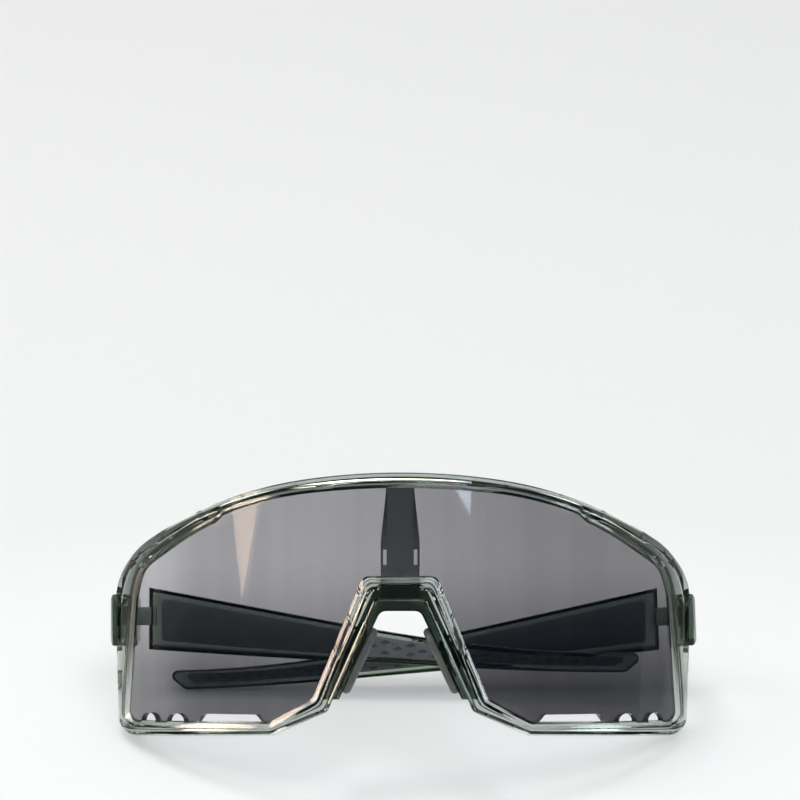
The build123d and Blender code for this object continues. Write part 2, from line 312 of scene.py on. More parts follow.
# ------------------------------------------------------------------ modelling by operators
class Bench:
    """Small steps of modelling, each done by operators on one piece."""

    @staticmethod
    def clear() -> None:
        """Leaves edit mode and deselects everything."""
        if bpy.context.object and bpy.context.object.mode != "OBJECT":
            bpy.ops.object.mode_set(mode="OBJECT")
        bpy.ops.object.select_all(action="DESELECT")

    @staticmethod
    def pick(piece: Model) -> None:
        """Makes one piece the only selected and the active one.

        Args:
            piece: The piece.
        """
        Bench.clear()
        piece.select_set(True)
        bpy.context.view_layer.objects.active = piece

    @staticmethod
    def loft(name: str, rings: Sequence[Ring], caps: Caps) -> Model:
        """A skin over rings of equal count: a circle is shaped to the first, then extruded to each other one.

        Args:
            name: The piece's name.
            rings: The rings, in order, each with the same number of points.
            caps: How the ends are closed.

        Returns:
            The new piece, with its normals pointing outwards.
        """
        Bench.clear()
        count = len(rings[0])
        bpy.ops.mesh.primitive_circle_add(vertices=count, radius=MM, fill_type="NOTHING")
        piece = bpy.context.object
        piece.name = piece.data.name = name
        bpy.ops.object.mode_set(mode="EDIT")
        mesh = bmesh.from_edit_mesh(piece.data)
        Bench._shape(mesh, 0, rings[0])
        for step, ring in enumerate(rings[1:], start=1):
            bpy.ops.mesh.extrude_edges_move()
            mesh = bmesh.from_edit_mesh(piece.data)
            Bench._shape(mesh, step * count, ring, rings[step - 1])
        if caps is Caps.FLAT:
            for start in (0, (len(rings) - 1) * count):
                bpy.ops.mesh.select_all(action="DESELECT")
                mesh.verts.ensure_lookup_table()
                for vert in mesh.verts[start:start + count]:
                    vert.select = True
                mesh.select_flush(True)
                bpy.ops.mesh.edge_face_add()
        bpy.ops.mesh.select_all(action="SELECT")
        if caps is Caps.LOOP:
            bpy.ops.mesh.remove_doubles(threshold=SAME_SPOT)
        bpy.ops.mesh.normals_make_consistent(inside=False)
        bpy.ops.object.mode_set(mode="OBJECT")
        return piece

    @staticmethod
    def _shape(mesh: bmesh.types.BMesh, start: int, ring: Ring, before: Ring | None = None) -> None:
        """Moves the newest ring of vertices onto its places.

        Args:
            mesh: The mesh in edit mode.
            start: Index of the ring's first vertex.
            ring: Where its vertices go.
            before: The ring that it was extruded from, if any.
        """
        mesh.verts.ensure_lookup_table()
        newest = mesh.verts[start:start + len(ring)]
        if before is None:
            order = range(len(ring))
        else:
            spots = {Bench._key(place): i for i, place in enumerate(before)}
            order = []
            for vert in newest:
                key = Bench._key(vert.co)
                if key not in spots:
                    key = min(spots, key=lambda s, v=vert: (Vector(s) - v.co).length_squared)
                order.append(spots[key])
        for vert, i in zip(newest, order):
            vert.co = ring[i]

    @staticmethod
    def _key(place: Vector) -> Point:
        """A place as three numbers, rounded to a nanometre."""
        return tuple(round(c, 9) for c in place)

    @staticmethod
    def modify(piece: Model, kind: str, **values: object) -> None:
        """Adds a modifier with these values and applies it at once.

        Args:
            piece: The piece.
            kind: The modifier's type.
            **values: Its settings.
        """
        Bench.pick(piece)
        modifier = piece.modifiers.new(kind.lower(), kind)
        for key, value in values.items():
            setattr(modifier, key, value)
        bpy.ops.object.modifier_apply(modifier=modifier.name)

    @staticmethod
    def soften(piece: Model, width: float, segments: int = 2, angle: float = 24.0) -> None:
        """Bevels the sharp edges and shades the rest smooth.

        Args:
            piece: The piece.
            width: The bevel's width, in millimetres.
            segments: How many faces the bevel has.
            angle: Edges sharper than this many degrees are bevelled.
        """
        Bench.tidy(piece)
        Bench.modify(piece, "BEVEL", width=width * MM, segments=segments, limit_method="ANGLE",
                     angle_limit=radians(angle), use_clamp_overlap=True, miter_outer="MITER_ARC")
        Bench.shade(piece)

    @staticmethod
    def shade(piece: Model, angle: float = 30.0) -> None:
        """Shades all but the edges sharper than this many degrees smooth."""
        Bench.pick(piece)
        bpy.ops.object.shade_smooth_by_angle(angle=radians(angle))

    @staticmethod
    def tidy(piece: Model) -> None:
        """Merges vertices that lie together and drops faces without area.

        Args:
            piece: The piece.
        """
        Bench.pick(piece)
        bpy.ops.object.mode_set(mode="EDIT")
        bpy.ops.mesh.select_all(action="SELECT")
        bpy.ops.mesh.remove_doubles(threshold=CRUMB)
        bpy.ops.mesh.dissolve_degenerate(threshold=CRUMB)
        bpy.ops.object.mode_set(mode="OBJECT")

    @staticmethod
    def rest(piece: Model) -> None:
        """Takes off what would reach through the table, which leaves the flat that the piece lies on.

        Args:
            piece: The piece.
        """
        Bench.pick(piece)
        bpy.ops.object.mode_set(mode="EDIT")
        bpy.ops.mesh.select_all(action="SELECT")
        bpy.ops.mesh.bisect(plane_co=(0, 0, TABLE), plane_no=(0, 0, 1), clear_inner=True, use_fill=True,
                            threshold=SAME_SPOT)
        bpy.ops.object.mode_set(mode="OBJECT")

    @staticmethod
    def cut(piece: Model, tool: Model, how: str = "DIFFERENCE") -> None:
        """Combines a piece with a tool, which is then thrown away.

        Args:
            piece: The piece that stays.
            tool: The closed mesh that shapes it.
            how: DIFFERENCE, INTERSECT or UNION.
        """
        Bench.modify(piece, "BOOLEAN", operation=how, solver="EXACT", object=tool)
        bpy.data.objects.remove(tool)


# ------------------------------------------------------------------ finishes
class Nodes:
    """A shader tree, with short ways to add to it."""

    def __init__(self, tree: bpy.types.ShaderNodeTree) -> None:
        """Takes over a tree."""
        self.tree = tree

    def add(self, kind: str, **values: object) -> Node:
        """Adds a node.

        Args:
            kind: Its type.
            **values: Values of its inputs or settings by name, where _ in an input's name stands for a space.

        Returns:
            The node.
        """
        node = self.tree.nodes.new(kind)
        for key, value in values.items():
            name = key.replace("_", " ")
            if name in node.inputs:
                node.inputs[name].default_value = value
            else:
                setattr(node, key, value)
        return node

    def feed(self, source: object, target: Socket) -> None:
        """Gives an input its value, or links it to another node's output.

        Args:
            source: A constant, or the output that is linked.
            target: The input.
        """
        if isinstance(source, Socket):
            self.tree.links.new(source, target)
        else:
            target.default_value = source

    def maths(self, operation: str, first: Socket,
              second: Socket | float) -> Socket:
        """Works out a value from two others.

        Args:
            operation: The Math node's operation.
            first: The first value.
            second: The second value.

        Returns:
            The result.
        """
        node = self.add("ShaderNodeMath", operation=operation)
        self.feed(first, node.inputs[0])
        self.feed(second, node.inputs[1])
        return node.outputs[0]

    def either(self, first: str, second: str) -> Socket:
        """Tells two kinds of ray from the rest.

        Args:
            first: One kind, as the Light Path node names it.
            second: The other kind.

        Returns:
            1 for either kind and 0 for all other rays.
        """
        path = self.add("ShaderNodeLightPath")
        return self.maths("MAXIMUM", path.outputs[first], path.outputs[second])

    def height(self, place: Socket, way: Point) -> Socket:
        """How far a place lies along a direction.

        Args:
            place: The coordinates.
            way: The direction, of length 1.

        Returns:
            The distance.
        """
        node = self.add("ShaderNodeVectorMath", operation="DOT_PRODUCT")
        self.feed(place, node.inputs[0])
        self.feed(way, node.inputs[1])
        return node.outputs["Value"]

    def ramp(self, value: Socket, span: Flat, top: float = 1.0,
             way: str = "SMOOTHSTEP") -> Socket:
        """A value that rises from 0 to top while another crosses a span.

        Args:
            value: The value that is read.
            span: Where the rise starts and ends.
            top: What it rises to.
            way: The Map Range node's interpolation.

        Returns:
            The risen value.
        """
        node = self.add("ShaderNodeMapRange", interpolation_type=way, From_Min=span[0], From_Max=span[1],
                        To_Max=top)
        self.feed(value, node.inputs["Value"])
        return node.outputs[0]

    def blend(self, share: Socket, low: object, high: object) -> Socket:
        """Two colours mixed by a share.

        Args:
            share: 0 for all of the first and 1 for all of the second.
            low: The first colour, given or linked.
            high: The second colour, given or linked.

        Returns:
            The mixed colour.
        """
        node = self.add("ShaderNodeMix", data_type="RGBA")
        for source, spot in ((share, 0), (low, 6), (high, 7)):
            self.feed(source, node.inputs[spot])
        return node.outputs[2]


class Coat(Nodes):
    """The node tree of one new material."""

    def __init__(self, name: str) -> None:
        """Starts an empty material.

        Args:
            name: Its name.
        """
        self.material = bpy.data.materials.new(name)
        self.material.use_nodes = True
        super().__init__(self.material.node_tree)
        self.tree.nodes.clear()
        self.out = self.add("ShaderNodeOutputMaterial")

    def grain(self, scale: float, low: float, high: float, stretch: Point = (1.0, 1.0, 1.0)) -> Node:
        """Adds the shared uneven skin.

        Args:
            scale: How many features it has to a metre.
            low: Where the span of its Value starts.
            high: Where that span ends.
            stretch: Factors for the features' number along each axis.

        Returns:
            The group's node.
        """
        node = self.add("ShaderNodeGroup", node_tree=MouldedSkin.group())
        for name, value in (("Scale", scale), ("Low", low), ("High", high), ("Stretch", stretch)):
            self.feed(value, node.inputs[name])
        return node

    def bump(self, height: Socket, depth: float, target: Socket) -> None:
        """Gives a shader an uneven surface.

        Args:
            height: The surface's height.
            depth: The most that it differs, in millimetres.
            target: The shader's normal.
        """
        node = self.add("ShaderNodeBump", Strength=1.0, Distance=depth * MM)
        self.feed(height, node.inputs["Height"])
        self.feed(node.outputs["Normal"], target)

    def mixed(self, share: Socket, first: Node, second: Node) -> Node:
        """Two shaders mixed by a share.

        Args:
            share: 0 for all of the first and 1 for all of the second.
            first: The first shader.
            second: The second shader.

        Returns:
            The mixed shader.
        """
        node = self.add("ShaderNodeMixShader")
        for source, target in zip((share, first.outputs[0], second.outputs[0]), node.inputs):
            self.feed(source, target)
        return node

    def done(self, surface: Node) -> Material:
        """The finished material, whose surface is this shader."""
        self.feed(surface.outputs[0], self.out.inputs["Surface"])
        return self.material


class MouldedSkin:
    """The node group that every finish of the glasses shares: the unevenness of a moulded skin."""

    NAME = "moulded_skin"
    CONTRAST = (0.3, 0.7)
    DETAIL = 3.0

    @classmethod
    def group(cls) -> bpy.types.ShaderNodeTree:
        """Builds the group once.

        Returns:
            The group, with inputs Scale, Low, High and Stretch, and outputs Value and Height.
        """
        tree = bpy.data.node_groups.get(cls.NAME)
        if tree:
            return tree
        tree = bpy.data.node_groups.new(cls.NAME, "ShaderNodeTree")
        for name, kind in (("Scale", "Float"), ("Low", "Float"), ("High", "Float"), ("Stretch", "Vector")):
            tree.interface.new_socket(name, in_out="INPUT", socket_type="NodeSocket" + kind)
        for name in ("Value", "Height"):
            tree.interface.new_socket(name, in_out="OUTPUT", socket_type="NodeSocketFloat")
        nodes = Nodes(tree)
        given, out = nodes.add("NodeGroupInput"), nodes.add("NodeGroupOutput")
        place = nodes.add("ShaderNodeTexCoord")
        stretch = nodes.add("ShaderNodeVectorMath", operation="MULTIPLY")
        noise = nodes.add("ShaderNodeTexNoise", Detail=cls.DETAIL)
        span = nodes.add("ShaderNodeMapRange", From_Min=cls.CONTRAST[0], From_Max=cls.CONTRAST[1])
        for source, target in ((place.outputs["Object"], stretch.inputs[0]),
                               (given.outputs["Stretch"], stretch.inputs[1]),
                               (stretch.outputs[0], noise.inputs["Vector"]),
                               (given.outputs["Scale"], noise.inputs["Scale"]),
                               (noise.outputs["Fac"], span.inputs["Value"]),
                               (given.outputs["Low"], span.inputs["To Min"]),
                               (given.outputs["High"], span.inputs["To Max"]),
                               (span.outputs[0], out.inputs["Value"]),
                               (noise.outputs["Fac"], out.inputs["Height"])):
            nodes.feed(source, target)
        return tree


@dataclass(frozen=True)
class Crystal:
    """Clear moulded plastic that colours light by how far it goes through it.

    Shadow rays and the floor's own light pass straight through it, tinted, so that its shadow stays pale.
    """

    name: str
    density: float = 150.0
    tint: Colour = (0.17, 0.28, 0.20, 1.0)
    body: Colour = (0.97, 0.98, 0.975, 1.0)
    ior: float = 1.5
    grain: float = 260.0
    roughness: Flat = (0.008, 0.035)
    ripple: float = 0.003
    shade: Colour = (0.92, 0.94, 0.93, 1.0)

    def build(self) -> Material:
        """Makes the material.

        Returns:
            The material.
        """
        coat = Coat(self.name)
        glass = coat.add("ShaderNodeBsdfPrincipled", Base_Color=self.body, Transmission_Weight=1.0,
                         IOR=self.ior)
        skin = coat.grain(self.grain, *self.roughness)
        coat.feed(skin.outputs["Value"], glass.inputs["Roughness"])
        coat.bump(skin.outputs["Height"], self.ripple, glass.inputs["Normal"])
        clear = coat.add("ShaderNodeBsdfTransparent", Color=self.shade)
        inside = coat.add("ShaderNodeVolumeAbsorption", Color=self.tint, Density=self.density)
        coat.feed(inside.outputs[0], coat.out.inputs["Volume"])
        return coat.done(coat.mixed(coat.either("Is Shadow Ray", "Is Diffuse Ray"), glass, clear))


@dataclass(frozen=True)
class TintedLens:
    """Dark clear lens: it lets a share of the light straight through and mirrors a little.

    Its tint is alpha, and more by across towards the right, by downward towards the foot and by
    leftward towards the left end, with faint upright streaks. All four are shares of the light.
    """

    name: str
    alpha: float = 0.385
    across: float = 0.12
    across_span: Flat = (-0.03, 0.05)
    leftward: float = -0.13
    leftward_span: Flat = (0.048, 0.068)
    downward: float = 0.19
    downward_span: Flat = (14.0, -20.0)
    streaks: float = 0.018
    streak_stretch: Point = (260.0, 6.0, 6.0)
    shadow_alpha: float = 0.10
    ior: float = 1.59
    grain: float = 90.0
    roughness: Flat = (0.01, 0.05)
    colour: Colour = (0.002, 0.003, 0.006, 1.0)
    passed: Colour = (0.985, 0.972, 1.0, 1.0)

    def build(self) -> Material:
        """Makes the material.

        Returns:
            The material.
        """
        coat = Coat(self.name)
        skin = coat.add("ShaderNodeBsdfPrincipled", Base_Color=self.colour, IOR=self.ior)
        clear = coat.add("ShaderNodeBsdfTransparent", Color=self.passed)
        place = coat.add("ShaderNodeTexCoord").outputs["Object"]
        tint: Socket | float = self.alpha
        for way, span, amount in (((1.0, 0.0, 0.0), self.across_span, self.across),
                                  ((-1.0, 0.0, 0.0), self.leftward_span, self.leftward),
                                  (LEAN.up, self.heights(), self.downward)):
            tint = coat.maths("ADD", coat.ramp(coat.height(place, way), span, amount), tint)
        streaks = coat.grain(1.0, 0.0, self.streaks, self.streak_stretch)
        tint = coat.maths("ADD", streaks.outputs["Value"], tint)
        alpha = coat.add("ShaderNodeMix", B=self.shadow_alpha)
        coat.feed(tint, alpha.inputs["A"])
        coat.feed(coat.either("Is Shadow Ray", "Is Diffuse Ray"), alpha.inputs["Factor"])
        coat.feed(coat.grain(self.grain, *self.roughness).outputs["Value"], skin.inputs["Roughness"])
        return coat.done(coat.mixed(alpha.outputs[0], clear, skin))

    def heights(self) -> Flat:
        """Where the tint starts to deepen and where it is deepest, along the front's own upward line."""
        return tuple(LEAN.place(0.0, 0.0, z).dot(Vector(LEAN.up)) for z in self.downward_span)


@dataclass(frozen=True)
class Skin:
    """An opaque finish of two near tones with a fine grain; sizes of grain are features to a metre."""

    name: str
    dark: Colour
    pale: Colour
    roughness: Flat
    grain: float
    stretch: Point
    mottling: float
    depth: float
    metallic: float = 0.0

    def build(self) -> Material:
        """Makes the material.

        Returns:
            The material.
        """
        coat = Coat(self.name)
        skin = coat.add("ShaderNodeBsdfPrincipled", Metallic=self.metallic)
        fine = coat.grain(self.grain, *self.roughness, self.stretch)
        broad = coat.grain(self.mottling, 0.0, 1.0)
        coat.feed(coat.blend(broad.outputs["Value"], self.dark, self.pale), skin.inputs["Base Color"])
        coat.feed(fine.outputs["Value"], skin.inputs["Roughness"])
        coat.bump(fine.outputs["Height"], self.depth, skin.inputs["Normal"])
        return coat.done(skin)


@dataclass(frozen=True)
class Rubber(Skin):
    """Satin rubber with a fine moulded grain."""

    dark: Colour = (0.064, 0.070, 0.076, 1.0)
    pale: Colour = (0.092, 0.098, 0.106, 1.0)
    roughness: Flat = (0.42, 0.62)
    grain: float = 2600.0
    stretch: Point = (1.0, 1.0, 1.0)
    mottling: float = 2600.0 / 12
    depth: float = 0.03


@dataclass(frozen=True)
class Steel(Skin):
    """Turned stainless steel, brushed along its own length."""

    dark: Colour = (0.42, 0.42, 0.43, 1.0)
    pale: Colour = (0.66, 0.66, 0.67, 1.0)
    roughness: Flat = (0.18, 0.38)
    grain: float = 1.0
    stretch: Point = (9000.0, 9000.0, 400.0)
    mottling: float = 1500.0
    depth: float = 0.004
    metallic: float = 1.0


@dataclass(frozen=True)
class Paper:
    """The pale floor, painted brighter round the glasses and dimmer further off as a painted pool of light;
    gloss and clear plastic see it painted dark beyond that fade, a painted dark surrounding.
    """

    name: str = "floor"
    # near and far: painted light, the floor painted brighter round the glasses to lift their shade and dimmer
    # further off
    near_painted_bright: Colour = (0.95, 0.955, 0.95, 1.0)
    far_painted_dim: Colour = (0.84, 0.845, 0.84, 1.0)
    # painted darkness: the colour that only gloss and clear plastic see on the floor beyond the fade, a
    # painted dark surrounding for them to reflect and show
    beyond_painted_dark: Colour = (0.03, 0.035, 0.035, 1.0)
    painted_fade_span: Flat = (0.04, 0.13)
    narrow: float = 0.6
    roughness: float = 0.8

    def build(self) -> Material:
        """Makes the material.

        Returns:
            The material.
        """
        coat = Coat(self.name)
        skin = coat.add("ShaderNodeBsdfPrincipled", Roughness=self.roughness)
        place = coat.add("ShaderNodeNewGeometry")
        wide = coat.add("ShaderNodeVectorMath", operation="MULTIPLY")
        reach = coat.add("ShaderNodeVectorMath", operation="LENGTH")
        coat.feed((self.narrow, 1.0, 1.0), wide.inputs[1])
        coat.feed(place.outputs["Position"], wide.inputs[0])
        coat.feed(wide.outputs[0], reach.inputs[0])
        # painted pool of light: how far the floor has faded from the bright colour round the glasses to the
        # dim one; the painted dark for gloss and clear plastic follows the same fade
        away = coat.ramp(reach.outputs["Value"], self.painted_fade_span, way="LINEAR")
        # painted dark reflection: the share of the floor that gloss and clear plastic see painted dark
        painted_dark_share = coat.maths("MULTIPLY", away, coat.either("Is Glossy Ray", "Is Transmission Ray"))
        floor_with_painted_light = coat.blend(away, self.near_painted_bright, self.far_painted_dim)
        coat.feed(coat.blend(painted_dark_share, floor_with_painted_light, self.beyond_painted_dark), skin.inputs["Base Color"])
        return coat.done(skin)


@dataclass(frozen=True)
class Glow:
    """A lit card."""

    name: str
    colour: Colour
    strength: float

    def build(self) -> Material:
        """Makes the material."""
        coat = Coat(self.name)
        return coat.done(coat.add("ShaderNodeEmission", Color=self.colour, Strength=self.strength))


# ------------------------------------------------------------------ the front's outlines
@dataclass(frozen=True)
class FrontOutlines:
    """Edges of the front, right half first, both divided at the same places."""

    pitch: float = 0.5
    brow_top: Flat = (0, 33.2)
    brow: tuple[Flat, ...] = ((26.8, 31.1), (51.0, 24.2), (64.8, 17.2), (72.7, 9.1), (75.0, 0.5))
    cheek_foot: Flat = (73.9, -28.8)
    sill: tuple[Flat, ...] = ((69.4, -33.6), (32.0, -32.6), (18.2, -26.6), (6.0, 1.0), (0, 1.0))
    sill_rounding: float = 1.8
    lid_top: Flat = (0, 29.3)
    lid: tuple[Flat, ...] = ((24.2, 27.95), (45.2, 22.8))
    step: tuple[Flat, ...] = ((47.2, 20.9), (49.0, 20.0))
    step_rounding: tuple[float, ...] = (0.0, 0.6)
    step_end: int = 8
    eave_way: Flat = (1.0, -0.42)
    eave: tuple[Flat, ...] = ((56.2, 16.2), (64.2, 11.0))
    temple_side: tuple[Flat, ...] = ((67.2, 7.0), (68.6, 0.0))
    basin: tuple[Flat, ...] = ((68.6, 0.0), (70.5, -26.0), (70.8, -29.7), (32.8, -29.2), (22.0, -23.4),
                               (9.2, 7.3), (0, 7.3))
    basin_rounding: tuple[float, ...] = (0.0, 2.6, 2.6, 2.6, 2.6)
    inner_marks: tuple[Flat, ...] = ((45.0, 22.9), (47.4, 20.8), (64.2, 11.0), (68.6, 0.0), (70.6, -27.1),
                                     (68.2, -29.7), (32.4, -29.0), (22.2, -23.7), (9.9, 6.2))
    outer_marks: tuple[Flat, ...] = ((46.6, 26.0), (49.0, 25.1), (67.9, 14.8), (75.0, 0.5), (73.9, -28.8),
                                     (69.4, -33.6), (31.9, -32.5), (18.5, -26.7), (6.0, 1.0))
    post: tuple[Flat, ...] = ((0, 30.3), (3.5, 30.3), (3.6, 28.0), (4.9, 15.8), (4.8, 1.5), (0, 1.5))
    arch_inside: tuple[Flat, ...] = ((0, -1.5), (5.0, -1.5), (15.4, -23.6))
    arch_outside: tuple[Flat, ...] = ((0, 5.4), (5.8, 5.4), (19.0, -23.6))

    def brow_line(self) -> list[Flat]:
        """The front's upper edge, from the middle to the cheek."""
        return arc_run(self.brow_top, (1, 0), *self.brow)

    def outer_right(self) -> list[Flat]:
        """The outer edge.

        Returns:
            Its points from the middle of the brow down to the middle of the bridge.
        """
        start, foot = self.brow[-1], self.cheek_foot
        way = (foot[0] - start[0], foot[1] - start[1])
        points = self.brow_line()
        points += arc_to(points[-1], way, foot)[1:]
        points += arc_to(foot, way, self.sill[0])[1:]
        return points + rounded(self.sill, self.sill_rounding)[1:]

    def inner_right(self) -> list[Flat]:
        """The edge of the lens opening.

        Returns:
            Its points from the middle of the brow round to the middle of the bridge.
        """
        points = arc_run(self.lid_top, (1, 0), *self.lid)
        points += rounded([points[-2], self.lid[-1], *self.step], self.step_rounding)[2:-self.step_end]
        points += arc_run(points[-1], self.eave_way, *self.eave)[1:]
        way = (points[-1][0] - points[-2][0], points[-1][1] - points[-2][1])
        points += arc_run(points[-1], way, *self.temple_side)[1:]
        return points + rounded(self.basin, self.basin_rounding)[1:]

    def matched(self) -> tuple[list[Flat], list[Flat]]:
        """Both edges with the same number of points, side by side.

        Returns:
            The opening's closed loop and the outer one.
        """
        inner = cut_at(self.inner_right(), self.inner_marks)
        outer = cut_at(self.outer_right(), self.outer_marks)
        right_in, right_out = [], []
        for a, b in zip(inner, outer):
            length = max(sum((Vector(q) - Vector(p)).length for p, q in zip(run, run[1:])) for run in (a, b))
            count = max(4, round(length / self.pitch))
            right_in += spread(a, count)
            right_out += spread(b, count)
        right_in.append(inner[-1][-1])
        right_out.append(outer[-1][-1])
        return both_halves(right_in), both_halves(right_out)


OUTLINES = FrontOutlines()


# ------------------------------------------------------------------ pieces
def along(run: Sequence[Flat], share: float, steps: int = 1000) -> Flat:
    """The point at a share of a run's length."""
    return spread(run, steps)[min(steps - 1, round(share * steps))]


def between(value: float, marks: Sequence[Flat]) -> float:
    """Reads a straight-line graph, flat beyond both ends.

    Args:
        value: Where it is read.
        marks: The graph's corners, each a place and the height there.

    Returns:
        The height.
    """
    if value <= marks[0][0]:
        return marks[0][1]
    for (a, low), (b, high) in zip(marks, marks[1:]):
        if value <= b:
            return low + (high - low) * (value - a) / (b - a)
    return marks[-1][1]


def sweep(radius: float, turns: Iterable[float], centre: Flat = (0.0, 0.0)) -> list[Flat]:
    """Points of a circle, at these angles in degrees."""
    return [(centre[0] + radius * cos(radians(a)), centre[1] + radius * sin(radians(a))) for a in turns]


def circle(radius: float, count: int = 64) -> list[Flat]:
    """Points evenly spaced on a circle."""
    return [(radius * cos(2 * pi * i / count), radius * sin(2 * pi * i / count)) for i in range(count)]


def box(x0: float, x1: float, y0: float, y1: float) -> list[Flat]:
    """The four corners of a rectangle."""
    return [(x0, y0), (x0, y1), (x1, y1), (x1, y0)]


class Solid:
    """Closed blanks drawn in the wearer's frame."""

    @staticmethod
    def prism(name: str, loop: Sequence[Flat], front: float, back: float) -> Model:
        """An outline, X across and Z up, run straight from front to back."""
        return Bench.loft(name, [[LEAN.place(x, y, z) for x, z in loop] for y in (front, back)], Caps.FLAT)

    @staticmethod
    def shell(name: str, front: float, back: float, reach: float = 66.0, step: float = 0.5,
              height: float = 60.0) -> Model:
        """A stretch of the lens's cylinder between two depths.

        Args:
            name: The piece's name.
            front: Depth of its outer face.
            back: Depth of its inner face.
            reach: How far round it goes to each side, in degrees.
            step: Width of one facet, in degrees.
            height: How far it runs up and down.

        Returns:
            The closed shell.
        """
        radius = LEAN.wrap_radius
        corners = ((front, -height), (front, height), (back, height), (back, -height))
        rings = []
        for i in range(round(2 * reach / step) + 1):
            angle = radians(-reach + step * i)
            rings.append([LEAN.place((radius - d) * sin(angle), radius - (radius - d) * cos(angle), z)
                          for d, z in corners])
        return Bench.loft(name, rings, Caps.FLAT)

    @staticmethod
    def patch(name: str, loop: Sequence[Flat], front: float, back: float) -> Model:
        """An outline cut from the lens's cylinder between two depths.

        Args:
            name: The piece's name.
            loop: The outline, X across and Z up.
            front: Depth of its outer face.
            back: Depth of its inner face.

        Returns:
            The closed patch.
        """
        shell = Solid.shell(name, front, back)
        Bench.cut(shell, Solid.prism("outline", loop, *THROUGH), "INTERSECT")
        return shell


@dataclass(frozen=True)
class HingeSpot:
    """Where one hinge stands: X away from the face's middle, Y back and Z up its own axis."""

    side: Side
    right_lean: float = -2.05

    def point(self, x: float, y: float, z: float) -> Vector:
        """A point measured from the hinge, drawn for the right-hand side, in the row frame."""
        return self.raw(self.side.value * x, y, z)

    def raw(self, x: float, y: float, z: float) -> Vector:
        """The same without mirroring.

        Args:
            x: How far to the right of the hinge it is.
            y: How far behind.
            z: How far up the hinge's axis.

        Returns:
            The point in the row frame.
        """
        lean = radians(self.right_lean) if self.side is Side.RIGHT else 0.0
        left, back, up = LEAN.hinge
        return LEAN.place(-self.side.value * left + x * cos(lean) + z * sin(lean), back + y,
                          up - x * sin(lean) + z * cos(lean))

    def column(self, name: str, plan: Sequence[Flat], low: float, high: float) -> Model:
        """A plan outline run from one height to another."""
        return Bench.loft(name, [[self.point(x, y, z) for x, y in plan] for z in (low, high)], Caps.FLAT)


@dataclass
class Piece:
    """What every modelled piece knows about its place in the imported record."""

    name: str
    body: str
    node: str
    slot: str
    finish: Material

    def enter(self, piece: Model) -> Model:
        """Hands the finished piece to the frame.

        Args:
            piece: The piece.

        Returns:
            The same piece, named and dressed.
        """
        piece.name = piece.data.name = self.name
        if not piece.data.materials:
            piece.data.materials.append(self.finish)
        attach(piece, self.body)
        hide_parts(self.node)
        return piece


@dataclass(frozen=True)
class HingeCheek:
    """Cheek and ears of one hinge, measured from its axis: x outwards, y back and z up.

    In plan the cheek runs back from the rim and ends in the round ears. Seen from the side it is
    flared towards the rim, and its outer face is rounded above and below. The throat between the
    ears takes the temple's tongue, and the bore and its seat take the screw.
    """

    side: Side
    plan: tuple[Flat, ...] = ((-3.0, -11.0), (3.2, -13.6), (4.3, -7.0), (4.3, 5.0), (2.75, 5.0))
    ear: float = 2.9
    ear_turns: range = range(19, 181, 6)
    span: Flat = (-7.7, 5.7)
    flare: tuple[Flat, ...] = ((-14.0, 5.7), (-9.0, 5.7), (-2.5, 4.5), (5.0, 4.5), (5.0, -6.5), (-2.5, -6.5),
                               (-9.0, -7.7), (-14.0, -7.7))
    flare_rounding: tuple[float, ...] = (1.5, 6.0, 1.5, 1.5, 6.0, 1.5)
    face_rear: tuple[Flat, Flat] = ((-14.0, 5.8), (-14.0, -7.8))
    face_upper: tuple[float, Flat] = (2.1, (2.3, 3.7))
    face_lower: tuple[float, Flat] = (2.3, (2.1, -5.5))
    softness: float = 0.6
    tool_width: Flat = (-20, 20)
    tool_length: Flat = (-20, 10)
    throat: tuple[Flat, ...] = ((-10.0, 10.0), (2.75, 10.0), (2.75, -1.35))
    throat_end: Flat = (-10.0, -1.35)
    throat_floor: float = 2.7
    throat_span: Flat = (-2.5, 2.5)
    bore: float = 0.7
    bore_span: Flat = (-8.0, 6.0)
    seat: float = 1.35
    seat_span: Flat = (3.7, 6.0)

    def build(self) -> Model:
        """Models the cheek.

        Returns:
            The closed blank, which is joined to the rim.
        """
        spot = HingeSpot(self.side)
        cheek = spot.column("cheek", (*self.plan, *sweep(self.ear, self.ear_turns)), *self.span)
        flare = rounded(self.flare, self.flare_rounding)
        rings = [[spot.point(x, y, z) for y, z in flare] for x in self.tool_width]
        Bench.cut(cheek, Bench.loft("flare", rings, Caps.FLAT), "INTERSECT")
        radius, centre = self.face_upper
        face = [self.face_rear[0], *sweep(radius, range(90, -1, -15), centre)]
        radius, centre = self.face_lower
        face += [*sweep(radius, range(0, -91, -15), centre), self.face_rear[1]]
        rings = [[spot.point(x, y, z) for x, z in face] for y in self.tool_length]
        Bench.cut(cheek, Bench.loft("face", rings, Caps.FLAT), "INTERSECT")
        Bench.soften(cheek, self.softness, 3)
        throat = [*self.throat, *sweep(self.throat_floor, range(-30, -151, -6)), self.throat_end]
        Bench.cut(cheek, spot.column("throat", throat, *self.throat_span))
        Bench.cut(cheek, spot.column("bore", circle(self.bore, 32), *self.bore_span))
        Bench.cut(cheek, spot.column("seat", circle(self.seat, 48), *self.seat_span))
        return cheek


